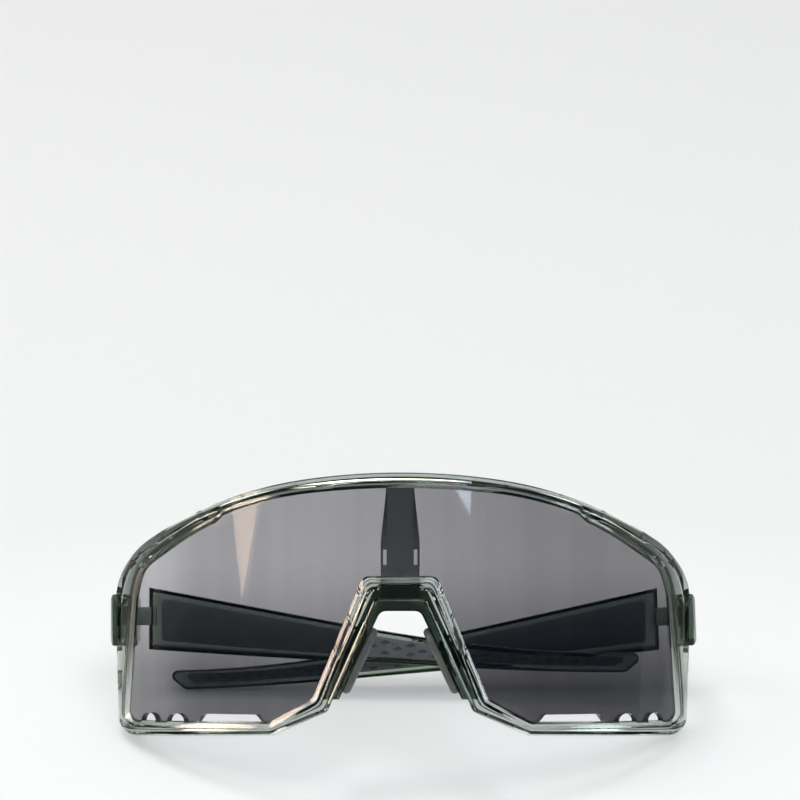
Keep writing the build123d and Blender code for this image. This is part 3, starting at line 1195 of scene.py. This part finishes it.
@dataclass
class FrontFrame(Piece):
    """The full-rim front: bead round the lens, ribbed flank, groove for the lens and hinge cheeks.

    facet and lip shape the bead's slope down to the lens, channel is half the width of the groove
    along the rim's back, ridge is how far the bead's outer side keeps from the brow line, by the
    distance from the middle, and rear is where the rim is cut off. The two rings of a rib are
    given as depth, half its width and distance from the brow line. The breaks are the pairs of
    creases across each nose leg. post_pocket is how deep the post stands in the brow.
    """

    bead_width: float = 2.1
    bead_proud: float = 1.2
    flank_proud: float = 0.1
    depth: float = 3.6
    grip: float = 1.3
    groove_front: float = -0.1
    groove_back: float = 1.9
    widest: float = 0.86
    rear: Flat = (41.0, 80.0)
    rear_width: float = 90.0
    channel: float = 0.55
    facet: float = 1.5
    lip: float = 0.42
    ridge_from: float = 9.0
    ridge: tuple[Flat, ...] = ((0, 2.0), (20, 1.9), (25.6, 1.4), (31, 0.95), (40.4, 0.9), (44.8, 1.05),
                               (45.6, 1.9), (51.2, 1.75), (60.2, 2.3), (60.9, 1.8), (66.0, 1.9), (69.0, 2.1))
    rib_section: tuple[Point, Point] = ((-1.0, 0.45, 0.3), (0.3, 0.65, 0.02))
    rib_spots: tuple[float, ...] = (26.8, 40.9, 51.8, 62.4, 68.6)
    break_spots: tuple[Flat, ...] = ((10.3, 3.4), (13.1, -2.8), (16.5, -10.0))
    break_way: Flat = (-0.41, -0.91)
    break_step: Flat = (0.4, -0.92)
    break_gap: float = 0.45
    break_floor: float = 0.3
    break_half: float = 0.2
    break_reach: float = 3.0
    post_room: float = 0.1
    post_pocket: Flat = (1.8, 4.6)

    def rings(self) -> list[Ring]:
        """The rim's section, taken round the whole opening.

        Returns:
            One ring for each corner of the section.
        """
        inner, outer = OUTLINES.matched()

        def ring(offset: float, depth: float, start: Edge = Edge.OPENING) -> Ring:
            """One corner of the section.

            Args:
                offset: How far it is from where it is measured.
                depth: How deep it lies behind the lens's front face.
                start: Where it is measured from.

            Returns:
                The corner's places round the rim.
            """
            made = []
            for a, b in zip(inner, outer):
                width = (Vector(b) - Vector(a)).length
                if start is Edge.BEAD and a[1] > self.ridge_from:
                    share = 1 - (between(abs(a[0]), self.ridge) - offset) / width
                elif start is Edge.OUTSIDE:
                    share = 1 - offset / width
                elif start is Edge.MIDDLE:
                    share = 0.5 + offset / width
                else:
                    bead = self.bead_width if start is Edge.BEAD else 0.0
                    share = min((offset + bead) / width, self.widest)
                x, z = Vector(a).lerp(Vector(b), share)
                made.append(LEAN.wrapped(x, depth, z))
            return made

        front, flank, rear = -self.bead_proud, -self.flank_proud, self.depth
        return [
            ring(0.0, self.groove_front), ring(0.0, -self.lip), ring(self.facet, front),
            ring(-0.3, front, Edge.BEAD), ring(-0.05, front + 0.25, Edge.BEAD),
            ring(0.0, front + 0.6, Edge.BEAD), ring(0.1, flank, Edge.BEAD),
            ring(0.35, flank, Edge.OUTSIDE), ring(0.0, 0.35, Edge.OUTSIDE),
            ring(0.0, rear - 1.3, Edge.OUTSIDE), ring(0.3, rear - 0.5, Edge.OUTSIDE),
            ring(1.0, rear, Edge.OUTSIDE),
            ring(self.channel, rear, Edge.MIDDLE), ring(0.0, rear - 1.3 * self.channel, Edge.MIDDLE),
            ring(-self.channel, rear, Edge.MIDDLE), ring(1.0, rear), ring(0.3, rear - 0.4),
            ring(0.0, rear - 1.1), ring(0.0, self.groove_back), ring(self.grip, self.groove_back),
            ring(self.grip, self.groove_front), ring(0.0, self.groove_front),
        ]

    def rib(self, across: float, side: Side) -> Model:
        """One cross-rib over the brow's flank, square to the brow line.

        Args:
            across: How far from the middle it stands.
            side: On which half.

        Returns:
            The rib's closed blank.
        """
        brow = OUTLINES.brow_line()
        spot = min(range(1, len(brow) - 1), key=lambda i: abs(brow[i][0] - across))
        way = (Vector(brow[spot + 1]) - Vector(brow[spot - 1])).normalized()
        square = Vector((-way.y, way.x))
        rings = []
        for depth, half, short in self.rib_section:
            corners = [(-half, -self.bead_width), (-half, -short), (half, -short), (half, -self.bead_width)]
            places = [Vector(brow[spot]) + way * a + square * b for a, b in corners]
            rings.append([LEAN.wrapped(side.value * p.x, depth, p.y) for p in places])
        return Bench.loft("rib", rings, Caps.FLAT)

    def crease(self, spot: Flat, side: Side) -> Model:
        """A thin slot across the bead of one nose leg.

        Args:
            spot: Its middle.
            side: On which half.

        Returns:
            The closed blank that cuts it.
        """
        way = Vector(self.break_way).normalized()
        square = Vector((-way.y, way.x))
        long, half = self.bead_width, self.break_half
        corners = [Vector(spot) + way * a + square * b for a, b in box(-long, long, -half, half)]
        floor = LEAN.wrap_radius - sqrt((LEAN.wrap_radius + self.break_floor) ** 2 - spot[0] ** 2)
        loop = [(side.value * p.x, p.y) for p in corners]
        return Solid.prism("crease", loop, floor - self.break_reach, floor)

    def build(self) -> Model:
        """Models the front.

        Returns:
            The finished piece.
        """
        piece = Bench.loft("front", self.rings(), Caps.LOOP)
        for side in Side:
            for across in self.rib_spots:
                Bench.cut(piece, self.rib(across, side), "UNION")
        wide = self.rear_width
        Bench.cut(piece, Solid.prism("rear", box(-wide, wide, -wide, wide), *self.rear))
        for side in Side:
            Bench.cut(piece, HingeCheek(side).build(), "UNION")
        pocket = outward(both_halves(OUTLINES.post), self.post_room)
        Bench.cut(piece, Solid.patch("pocket", pocket, *self.post_pocket))
        for side in Side:
            for spot in self.break_spots:
                for way in (-1, 1):
                    place = Vector(spot) + Vector(self.break_step) * self.break_gap * way
                    Bench.cut(piece, self.crease(tuple(place), side))
        Bench.shade(piece)
        return self.enter(piece)


@dataclass
class ShieldLens(Piece):
    """One-piece tinted lens with a row of vents along each lower edge."""

    edge_finish: Material
    thickness: float = 1.8
    grip: float = 0.6
    softness: float = 0.1
    edge_tilt: float = 0.5
    rim_height: float = -29.6
    vent_height: float = 2.1
    vent_foot: float = 1.6
    vent_rounding: float = 0.9
    plug: Flat = (-3.0, 4.0)
    domes: tuple[Flat, ...] = ((65.2, 5.9), (57.7, 6.1))
    slot_spot: float = 43.4
    slot_foot: float = 19.6
    slot_head: float = 15.8

    def vent(self, across: float, outline: Sequence[Flat]) -> Model:
        """A plug square to the lens, for cutting one vent.

        Args:
            across: Where its middle is, to the right of the face's middle.
            outline: The vent, along the lens and up from the rim.

        Returns:
            The plug.
        """
        radius = LEAN.wrap_radius
        turn = atan2(across, sqrt(radius ** 2 - across ** 2))
        rings = []
        for deep in self.plug:
            rings.append([LEAN.place(p * cos(turn) - (deep - radius) * sin(turn),
                                     p * sin(turn) + (deep - radius) * cos(turn) + radius,
                                     self.rim_height + h) for p, h in outline])
        return Bench.loft("vent", rings, Caps.FLAT)

    def dome(self, width: float) -> list[Flat]:
        """Half an ellipse on a short skirt."""
        arch = [(width / 2 * x, self.vent_height * y) for x, y in sweep(1.0, range(0, 181, 6))]
        return arch + [(-width / 2, -self.vent_foot), (width / 2, -self.vent_foot)]

    def long_vent(self) -> list[Flat]:
        """The long vent.

        Returns:
            Its outline, with slanting ends and rounded upper corners.
        """
        slope = (self.slot_foot - self.slot_head) / 2 / self.vent_height
        skirt = self.slot_foot / 2 + slope * self.vent_foot
        return rounded([(-skirt, -self.vent_foot), (-self.slot_head / 2, self.vent_height),
                        (self.slot_head / 2, self.vent_height), (skirt, -self.vent_foot)], self.vent_rounding)

    def build(self) -> Model:
        """Models the lens.

        Returns:
            The finished piece.
        """
        inner, _ = OUTLINES.matched()
        piece = Solid.patch("lens", outward(inner, self.grip), 0.0, self.thickness)
        for side in Side:
            Bench.cut(piece, self.vent(side.value * self.slot_spot, self.long_vent()))
            for across, width in self.domes:
                Bench.cut(piece, self.vent(side.value * across, self.dome(width)))
        Bench.soften(piece, self.softness, 1)
        piece.data.materials.append(self.finish)
        piece.data.materials.append(self.edge_finish)
        for face in piece.data.polygons:
            face.material_index = int(self.is_edge(face))
        return self.enter(piece)

    def is_edge(self, face: bpy.types.MeshPolygon) -> bool:
        """Whether a face is on the lens's edge, so that one looks along the tint and not through it.

        Args:
            face: The face.

        Returns:
            True for an edge face.
        """
        up = Vector(LEAN.up)
        out = face.center - LEAN.place(0, LEAN.wrap_radius, 0)
        out -= up * out.dot(up)
        return abs(face.normal.dot(out.normalized())) < self.edge_tilt


@dataclass
class NoseBridge(Piece):
    """The arch over the nose and the flat post that runs up behind the lens."""

    front: float = -3.0
    rear: float = 12.5
    rear_rounding: tuple[Flat, ...] = ((0.5, 0.0), (0.15, 0.15), (0.0, 0.5))
    outer_corner: float = 2.6
    inner_corner: float = 2.2
    steps: int = 48
    frame_front: float = -12.0
    frame_back: float = 3.62
    front_reach: float = 22.0
    post_front: float = 1.85
    post_thickness: float = 2.4
    post_reach: float = 8.0
    post_softness: float = 0.45
    window_spot: float = 3.85
    window_width: float = 0.9
    window_span: Flat = (10.1, 13.9)
    tool: Flat = (-2.0, 12.0)

    def arch_loop(self) -> list[Flat]:
        """The arch, seen from the front.

        Returns:
            Its closed outline.
        """
        edges = []
        for corners, radius in ((OUTLINES.arch_outside, self.outer_corner),
                                (OUTLINES.arch_inside, self.inner_corner)):
            run = rounded(corners, radius)
            right = spread(run, self.steps) + [run[-1]]
            edges.append([(-x, z) for x, z in reversed(right[1:])] + right)
        outside, inside = edges
        return outside + inside[::-1]

    def build(self) -> Model:
        """Models the arch and the post as one moulding.

        Returns:
            The finished piece.
        """
        loop = self.arch_loop()
        rings = [[LEAN.place(x, self.front, z) for x, z in loop]]
        for ahead, inset in self.rear_rounding:
            rings.append([LEAN.place(x, self.rear - ahead, z) for x, z in outward(loop, -inset)])
        piece = Bench.loft("bridge", rings, Caps.FLAT)
        Bench.cut(piece, Solid.shell("front", self.frame_front, self.frame_back, self.front_reach))
        post = Solid.shell("post", self.post_front, self.post_front + self.post_thickness, self.post_reach)
        Bench.cut(post, Solid.prism("outline", both_halves(OUTLINES.post), *self.tool), "INTERSECT")
        Bench.soften(post, self.post_softness, 3)
        half = self.window_width / 2
        for side in Side:
            middle = side.value * self.window_spot
            window = box(middle - half, middle + half, *self.window_span)
            Bench.cut(post, Solid.prism("window", window, *self.tool))
        Bench.cut(piece, post, "UNION")
        Bench.shade(piece)
        return self.enter(piece)


@dataclass
class NosePad(Piece):
    """A soft pad lying on the inner wall of one nose leg."""

    side: Side = Side.LEFT
    length: float = 18.0
    width: float = 8.0
    thickness: float = 1.7
    down: float = 0.555
    back: float = 8.0
    crown: float = 1.1
    foot_bevel: float = 0.12
    steps: int = 72

    def slot_ring(self, inset: float, rise: float) -> Ring:
        """The pad's outline.

        Args:
            inset: How far it is drawn in.
            rise: How high above the leg's wall it lies.

        Returns:
            The outline's points.
        """
        top, foot = (Vector(corner) for corner in OUTLINES.arch_inside[1:])
        way = (foot - top).normalized()
        spot = top.lerp(foot, self.down)
        half = self.length / 2 - self.width / 2
        ring = []
        for across, q in circle(self.width / 2 - inset, self.steps):
            p = across + (half if across >= 0 else -half)
            x, z = spot + way * p + Vector((way.y, -way.x)) * rise
            ring.append(LEAN.place(self.side.value * x, self.back + q, z))
        return ring

    def build(self) -> Model:
        """Models the pad with a rounded crown.

        Returns:
            The finished piece.
        """
        rings = [self.slot_ring(self.foot_bevel, 0.0), self.slot_ring(0.0, self.foot_bevel),
                 self.slot_ring(0.0, self.thickness - self.crown)]
        for angle in (22.5, 45.0, 67.5, 90.0):
            rings.append(self.slot_ring(self.crown * (1 - cos(radians(angle))),
                                        self.thickness - self.crown * (1 - sin(radians(angle)))))
        piece = Bench.loft("pad", rings, Caps.FLAT)
        Bench.shade(piece, 40.0)
        return self.enter(piece)


@dataclass(frozen=True)
class ArmShape:
    """Side view of a temple, measured from its hinge: u towards the tip, z up, v outwards."""

    top: LongEdge = (-0.185, ((5.1, 4.7), (55.9, -4.75), (91.9, -10.3), (137.5, -12.4)))
    low: LongEdge = (-0.07, ((5.1, -11.7), (55.9, -14.8), (91.9, -16.7), (131.0, -17.7)))
    grip_top: LongEdge = (-0.18, ((8.4, 1.8), (55.9, -6.6), (91.9, -11.8), (133.0, -13.4)))
    grip_low: LongEdge = (-0.09, ((8.4, -9.4), (55.9, -13.1), (91.9, -15.2), (128.0, -16.1)))
    tip_rounding: float = 1.6
    recess_rounding: Flat = (1.2, 0.8)
    inner: float = 0.7
    outer: float = 4.3
    taper_from: float = 60.0
    tip: float = 138.5
    tip_inner: float = 1.3
    recess: float = 2.4
    counts: tuple[int, int, int] = (14, 60, 22)
    tip_split: float = 0.75

    @staticmethod
    def edge(line: LongEdge) -> list[Flat]:
        """One long edge as points."""
        slope, points = line
        return arc_run(points[0], (1, slope), *points[1:])

    def side_loop(self) -> list[Flat]:
        """The whole temple's side view."""
        return self.loop(self.top, self.low, 0.0, self.tip_rounding)

    def grip_loop(self) -> list[Flat]:
        """The side view of the recess that the grip fills."""
        return self.loop(self.grip_top, self.grip_low, *self.recess_rounding)

    def loop(self, top: LongEdge, low: LongEdge, heel: float, tip: float) -> list[Flat]:
        """A closed side view, clockwise from the middle of the heel.

        Args:
            top: The upper long edge.
            low: The lower long edge.
            heel: Rounding of the two corners at the hinge.
            tip: Rounding of the two corners at the tip.

        Returns:
            As many points for any two edges, so that rings of them can be joined.
        """
        upper, lower = self.edge(top), self.edge(low)
        halves = []
        for edge, other in ((upper, lower), (lower, upper)):
            start = tuple(Vector(edge[0]).lerp(Vector(other[0]), 0.5))
            end = tuple(Vector(upper[-1]).lerp(Vector(lower[-1]), self.tip_split))
            first, used_first = self.corner(start, edge, heel)
            last, used_last = self.corner(end, edge[::-1], tip)
            middle = first[-1:] + edge[used_first:len(edge) - used_last] + last[-1:]
            halves.append((first, middle, last))
        points = []
        for run, count in zip(halves[0], self.counts):
            points += spread(run if run is not halves[0][2] else run[::-1], count)
        for run, count in zip(halves[1][::-1], self.counts[::-1]):
            points += spread(run if run is halves[1][2] else run[::-1], count)
        return points

    @staticmethod
    def corner(start: Flat, run: list[Flat], radius: float) -> tuple[list[Flat], int]:
        """The way from the middle of an end to a long edge, round the corner between them.

        Args:
            start: The middle of the end.
            run: The long edge, from that corner on.
            radius: The corner's rounding, or 0 for a sharp one.

        Returns:
            The points up to where the rounding ends, and how many of the long edge's points it uses up.
        """
        if not radius:
            return arc_to(start, tuple(Vector(run[0]) - Vector(start)), run[0]), 1
        ahead = Vector(run[LOOK_AHEAD]) - Vector(run[0])
        reach = radius / tan((Vector(start) - Vector(run[0])).angle(ahead) / 2)
        leave = tuple(Vector(run[0]) + ahead.normalized() * reach)
        used = next(i for i, p in enumerate(run) if (Vector(p) - Vector(run[0])).length > reach + PITCH / 2)
        return rounded([start, run[0], leave], radius), used

    def inner_at(self, u: float) -> float:
        """Where the inner face is, at a distance along the temple."""
        return between(u, ((self.taper_from, self.inner), (self.tip, self.tip_inner)))


ARM = ArmShape()


@dataclass
class ArmPiece(Piece):
    """What a temple and its grip share: where they lie when folded."""

    side: Side = Side.LEFT
    skew: float = -1.6

    def point(self, u: float, v: float, z: float) -> Vector:
        """A point of the folded temple, in the row frame.

        Args:
            u: How far along the temple it is.
            v: How far outwards.
            z: How far up.

        Returns:
            The point.
        """
        turn = radians(self.skew)
        x = -self.side.value * u
        return HingeSpot(self.side).raw(x * cos(turn) - v * sin(turn), x * sin(turn) + v * cos(turn),
                                        z - LEAN.hinge[2])

    def ring(self, loop: list[Flat], inset: float, lift: float = 0.0, flat: float | None = None) -> Ring:
        """One ring round the piece.

        Args:
            loop: Its side view.
            inset: How far it is drawn in.
            lift: How far outwards of the tapering inner face it lies.
            flat: How far outwards of the hinge it lies, where it doesn't follow the inner face.

        Returns:
            The ring's points.
        """
        return [self.point(u, ARM.inner_at(u) + lift if flat is None else flat, z)
                for u, z in outward(loop, -inset)]

    def column(self, name: str, plan: Sequence[Flat], low: float, high: float) -> Model:
        """A plan outline, u and v, run from one height to another."""
        return Bench.loft(name, [[self.point(u, v, z) for u, v in plan] for z in (low, high)], Caps.FLAT)


@dataclass
class Temple(ArmPiece):
    """A crystal temple with a recess for the grip and a hinge tongue."""

    rounding: tuple[Flat, ...] = ((40.0, 2.8), (120.0, 1.45))
    inner_edge: float = 0.2
    recess_edge: float = 0.1
    knuckle: float = 2.6
    knuckle_turns: range = range(90, 334, 6)
    neck: tuple[Flat, ...] = ((7.2, -1.2), (7.2, 2.6))
    tongue_span: Flat = (-5.3, -0.5)
    tongue_softness: float = 0.3
    bore: float = 0.75
    bore_span: Flat = (-9.0, 3.0)

    def crown_ring(self, loop: list[Flat], angle: float) -> Ring:
        """One ring of the crowned outer face.

        Args:
            loop: The temple's side view.
            angle: Where it is, from the face's flat at 0 degrees to the side at 90.

        Returns:
            The ring's points.
        """
        reach = [between(u, self.rounding) for u, _ in loop]
        inset, fall = 1 - sin(radians(angle)), 1 - cos(radians(angle))
        moved = outward(loop, lambda p: -inset * between(p[0], self.rounding))
        return [self.point(u, ARM.outer - fall * size, z) for (u, z), size in zip(moved, reach)]

    def build(self) -> Model:
        """Models the temple.

        Returns:
            The finished piece.
        """
        side_view, recess = ARM.side_loop(), ARM.grip_loop()
        rings = [self.crown_ring(side_view, angle) for angle in range(0, 91, 15)]
        rings += [self.ring(side_view, 0.0, self.inner_edge), self.ring(side_view, self.inner_edge),
                  self.ring(recess, -self.recess_edge), self.ring(recess, 0.0, self.recess_edge),
                  self.ring(recess, 0.0, flat=ARM.recess)]
        piece = Bench.loft("temple", rings, Caps.FLAT)
        Bench.tidy(piece)
        plan = [*sweep(self.knuckle, self.knuckle_turns), *self.neck]
        tongue = self.column("tongue", plan, *self.tongue_span)
        Bench.soften(tongue, self.tongue_softness, 2, 40)
        Bench.cut(tongue, self.column("bore", circle(self.bore, 32), *self.bore_span))
        Bench.cut(piece, tongue, "UNION")
        Bench.shade(piece)
        Bench.rest(piece)
        return self.enter(piece)


@dataclass
class Grip(ArmPiece):
    """The rubber grip let into the temple's inner face, with diamond dimples.

    The dimples stand in columns over the stretch from first to last, shares of the grip's length,
    one and two by turns. row is how far the two are from the middle, as a share of its height.
    """

    gap: float = 0.03
    floor_gap: float = 0.02
    crown: tuple[Flat, ...] = ((0.03, 0.35), (0.12, 0.13), (0.35, 0.03))
    columns: int = 19
    first: float = 0.46
    last: float = 0.95
    row: float = 0.27
    dimple: Flat = (2.9, 1.5)
    dimple_depths: tuple[Flat, Flat] = ((1.25, -0.25), (0.45, 0.6))

    def diamond(self, u: float, z: float) -> Model:
        """The blank that presses one dimple.

        Args:
            u: Where its middle is along the temple.
            z: How high it is.

        Returns:
            The closed blank, which narrows as it goes in.
        """
        long, high = self.dimple
        corners = ((-long / 2, 0), (0, high / 2), (long / 2, 0), (0, -high / 2))
        face = ARM.inner_at(u)
        return Bench.loft("dimple", [[self.point(u + a * scale, face + depth, z + b * scale)
                                      for a, b in corners] for scale, depth in self.dimple_depths], Caps.FLAT)

    def build(self) -> Model:
        """Models the grip.

        Returns:
            The finished piece.
        """
        recess = ARM.grip_loop()
        rings = [self.ring(recess, self.gap, flat=ARM.recess - self.floor_gap)]
        rings += [self.ring(recess, inset, lift) for inset, lift in self.crown]
        piece = Bench.loft("grip", rings, Caps.FLAT)
        top, low = ARM.edge(ARM.grip_top), ARM.edge(ARM.grip_low)
        for column in range(self.columns):
            share = self.first + (self.last - self.first) * column / (self.columns - 1)
            upper, lower = along(top, share), along(low, share)
            u, z = (upper[0] + lower[0]) / 2, (upper[1] + lower[1]) / 2
            gap = self.row * (upper[1] - lower[1])
            for row in ((-1, 1) if column % 2 else (0,)):
                Bench.cut(piece, self.diamond(u, z + row * gap))
        Bench.tidy(piece)
        Bench.shade(piece)
        return self.enter(piece)


@dataclass
class HingeScrew(Piece):
    """A small cheese-head screw down through both ears, drawn as radius and height up its axis."""

    side: Side = Side.LEFT
    profile: tuple[Flat, ...] = ((0.45, -5.9), (0.7, -5.65), (0.7, 3.7), (1.3, 3.7), (1.3, 4.25), (1.1, 4.45))
    kerf: tuple[float, ...] = (-2.0, 2.0, -0.175, 0.175)
    kerf_span: Flat = (4.05, 6.0)
    softness: float = 0.04

    def build(self) -> Model:
        """Models the screw.

        Returns:
            The finished piece.
        """
        spot = HingeSpot(self.side)
        rings = [[spot.point(x, y, z) for x, y in circle(radius)] for radius, z in self.profile]
        piece = Bench.loft("screw", rings, Caps.FLAT)
        Bench.cut(piece, spot.column("kerf", box(*self.kerf), *self.kerf_span))
        Bench.soften(piece, self.softness, 2, 40)
        return self.enter(piece)


# ------------------------------------------------------------------ room
@dataclass(frozen=True)
class SoftBox:
    """A round soft light in the room: where it is, how wide in degrees, and its colour."""

    way: Point
    inner: float
    outer: float
    colour: Colour


@dataclass(frozen=True)
class Lamp:
    """A square soft lamp that faces the glasses: its place and size in metres, its watts and its colour."""

    name: str
    place: Point
    size: float
    power: float
    colour: Point

    def build(self) -> None:
        """Places the lamp."""
        data = bpy.data.lights.new(self.name, "AREA")
        data.energy, data.size, data.color = self.power, self.size, self.colour
        lamp = bpy.data.objects.new(self.name, data)
        bpy.context.scene.collection.objects.link(lamp)
        lamp.location = self.place
        lamp.rotation_euler = (-Vector(self.place)).to_track_quat("-Z", "Y").to_euler()


@dataclass
class Studio:
    """Floor, room, soft lamps, lit cards and camera; distances are in metres and turns in degrees."""

    dark: Colour = (0.02, 0.025, 0.025, 1.0)
    ambient: Colour = (0.66, 0.675, 0.68, 1.0)
    white: Colour = (0.93, 0.93, 0.93, 1.0)
    boxes: tuple[SoftBox, ...] = (
        SoftBox((0.0, 1.0, 0.05), 30.0, 42.0, (0.28, 0.31, 0.31, 1.0)),
        SoftBox((-0.12, 0.30, 0.95), 18.0, 27.0, (4.3, 4.0, 3.4, 1.0)),
        SoftBox((-0.89, -0.12, 0.44), 13.0, 18.0, (16.0, 12.2, 9.6, 1.0)),
        SoftBox((0.92, -0.10, 0.39), 9.0, 15.0, (8.0, 9.2, 9.2, 1.0)),
        SoftBox((0.61, 0.75, 0.25), 9.0, 17.0, (4.2, 4.2, 4.0, 1.0)),
        SoftBox((-0.61, 0.75, 0.25), 9.0, 17.0, (4.6, 4.5, 4.0, 1.0)),
    )
    lamps: tuple[Lamp, ...] = (
        Lamp("key", (-0.30, 0.36, 1.30), 0.35, 2.9, (1.0, 0.99, 0.97)),
        Lamp("left", (-1.10, 0.10, 0.90), 0.5, 2.2, (1.0, 0.97, 0.94)),
        Lamp("fill", (0.25, -0.42, 1.05), 0.7, 3.2, (0.94, 0.98, 1.0)),
    )
    glints: tuple[tuple[Glow, tuple[Flat, ...]], ...] = (
        (Glow("pale_wedge", (1.0, 0.72, 0.50, 1.0), 9.0), ((-43.3, 30.0), (-35.2, 30.0), (-40.0, 1.4))),
        (Glow("blue_wedge", (0.72, 0.86, 1.0, 1.0), 11.0), ((12.6, 31.0), (18.0, 31.0), (17.6, 23.0))),
    )
    glint_reach: float = 0.5
    floor_size: float = 6.0
    floor_place: Point = (0.0, 1.5, 0.0)
    distance: float = 0.9
    yaw: float = 0.9
    raised: float = 3.26
    roll: float = -0.5
    lens: float = 162.0
    sensor: float = 36.0

    def build(self) -> None:
        """Sets up all of it."""
        Bench.clear()
        bpy.ops.mesh.primitive_plane_add(size=self.floor_size, location=self.floor_place)
        floor = bpy.context.object
        floor.name = "floor"
        floor.data.materials.append(Paper().build())
        for lamp in self.lamps:
            lamp.build()
        self.room()
        self.camera()
        for glow, corners in self.glints:
            self.card(glow, corners)
        bpy.context.scene.view_settings.view_transform = "Standard"

    def room(self) -> None:
        """A plain white room; shiny and clear surfaces see its soft boxes and its dark walls instead."""
        world = bpy.data.worlds.new("room")
        bpy.context.scene.world = world
        world.use_nodes = True
        nodes = Nodes(world.node_tree)
        place = nodes.add("ShaderNodeTexCoord").outputs["Generated"]
        seen: object = self.dark
        for soft in self.boxes:
            facing = nodes.height(place, Vector(soft.way).normalized())
            seen = nodes.blend(nodes.ramp(facing, (cos(radians(soft.outer)), cos(radians(soft.inner)))),
                               seen, soft.colour)
        light = nodes.blend(nodes.either("Is Glossy Ray", "Is Transmission Ray"), self.ambient, seen)
        camera_ray = nodes.add("ShaderNodeLightPath").outputs["Is Camera Ray"]
        nodes.feed(nodes.blend(camera_ray, light, self.white), nodes.tree.nodes["Background"].inputs["Color"])

    def card(self, glow: Glow, corners: Sequence[Flat]) -> None:
        """A small lit card where the lens mirrors it to the camera.

        Args:
            glow: Its light.
            corners: Where its corners are seen on the lens, across and up, in millimetres.
        """
        eye = bpy.context.scene.camera.location
        places = []
        for x, z in corners:
            spot = LEAN.wrapped(x, 0.0, z)
            normal = (spot - LEAN.place(0.0, LEAN.wrap_radius, z)).normalized()
            places.append(spot + (spot - eye).normalized().reflect(normal) * self.glint_reach)
        Bench.clear()
        bpy.ops.mesh.primitive_circle_add(vertices=len(corners), radius=MM, fill_type="NGON")
        card = bpy.context.object
        card.name = card.data.name = glow.name
        for vert, place in zip(card.data.vertices, places):
            vert.co = place
        card.data.materials.append(glow.build())
        card.visible_camera = card.visible_diffuse = card.visible_shadow = card.visible_transmission = False

    def camera(self) -> None:
        """Looks nearly square at the front, aimed above it, so that the glasses lie low in the view."""
        data = bpy.data.cameras.new("camera")
        data.lens, data.sensor_width = self.lens, self.sensor
        camera = bpy.data.objects.new("camera", data)
        bpy.context.scene.collection.objects.link(camera)
        yaw = radians(self.yaw)
        reach = self.distance / MM
        eye = LEAN.place(reach * sin(yaw), -reach * cos(yaw), 0.0)
        aim = LEAN.place(0.0, 0.0, reach * tan(radians(self.raised)))
        camera.location = eye
        level = (aim - eye).to_track_quat("-Z", "Y")
        camera.rotation_euler = (level @ Quaternion((0, 0, 1), radians(self.roll))).to_euler()
        bpy.context.scene.camera = camera


def main() -> None:
    """Builds every sub-assembly in order and reports each piece."""
    logging.basicConfig(level=logging.INFO)
    crystal = Crystal("frame_crystal").build()
    bridge = Crystal("bridge_crystal", density=490.0, tint=(0.19, 0.28, 0.23, 1.0)).build()
    arm = Crystal("temple_crystal", density=480.0).build()
    lens = TintedLens("tinted_lens").build()
    edge = TintedLens("lens_edge", alpha=0.95, across=0.0, downward=0.0, leftward=0.0,
                      shadow_alpha=0.9).build()
    rubber = Rubber("grip_rubber").build()
    soft = Rubber("nose_rubber", dark=(0.060, 0.068, 0.066, 1.0), pale=(0.10, 0.11, 0.105, 1.0)).build()
    steel = Steel("screw_steel").build()
    pieces: list[Piece] = [
        FrontFrame("front_moulding", "front", "front_frame", "frame_crystal", crystal),
        ShieldLens("shield", "front", "shield_lens", "tinted_lens", lens, edge),
        NoseBridge("bridge_moulding", "front", "nose_bridge", "bridge_crystal", bridge),
    ]
    for side in Side:
        word = side.word
        pieces += [
            NosePad("pad_" + word, "front", "nose_pad_" + word, "nose_rubber", soft, side),
            HingeScrew("screw_" + word, "front", "hinge_screw_" + word, "screw_steel", steel, side),
            Temple("arm_" + word, word + "_temple", "temple_" + word, "temple_crystal", arm, side),
            Grip("grip_" + word, word + "_temple", "temple_grip_" + word, "grip_rubber", rubber, side),
        ]
    for piece in pieces:
        faces = len(piece.build().data.polygons)
        LOG.info("%s, on body %s for node %s: %d faces", piece.name, piece.body, piece.node, faces)
    Studio().build()
    LOG.info("studio: floor, %d lamps, %d lit cards and camera", len(Studio.lamps), len(Studio.glints))


if __name__ == "__main__":
    main()
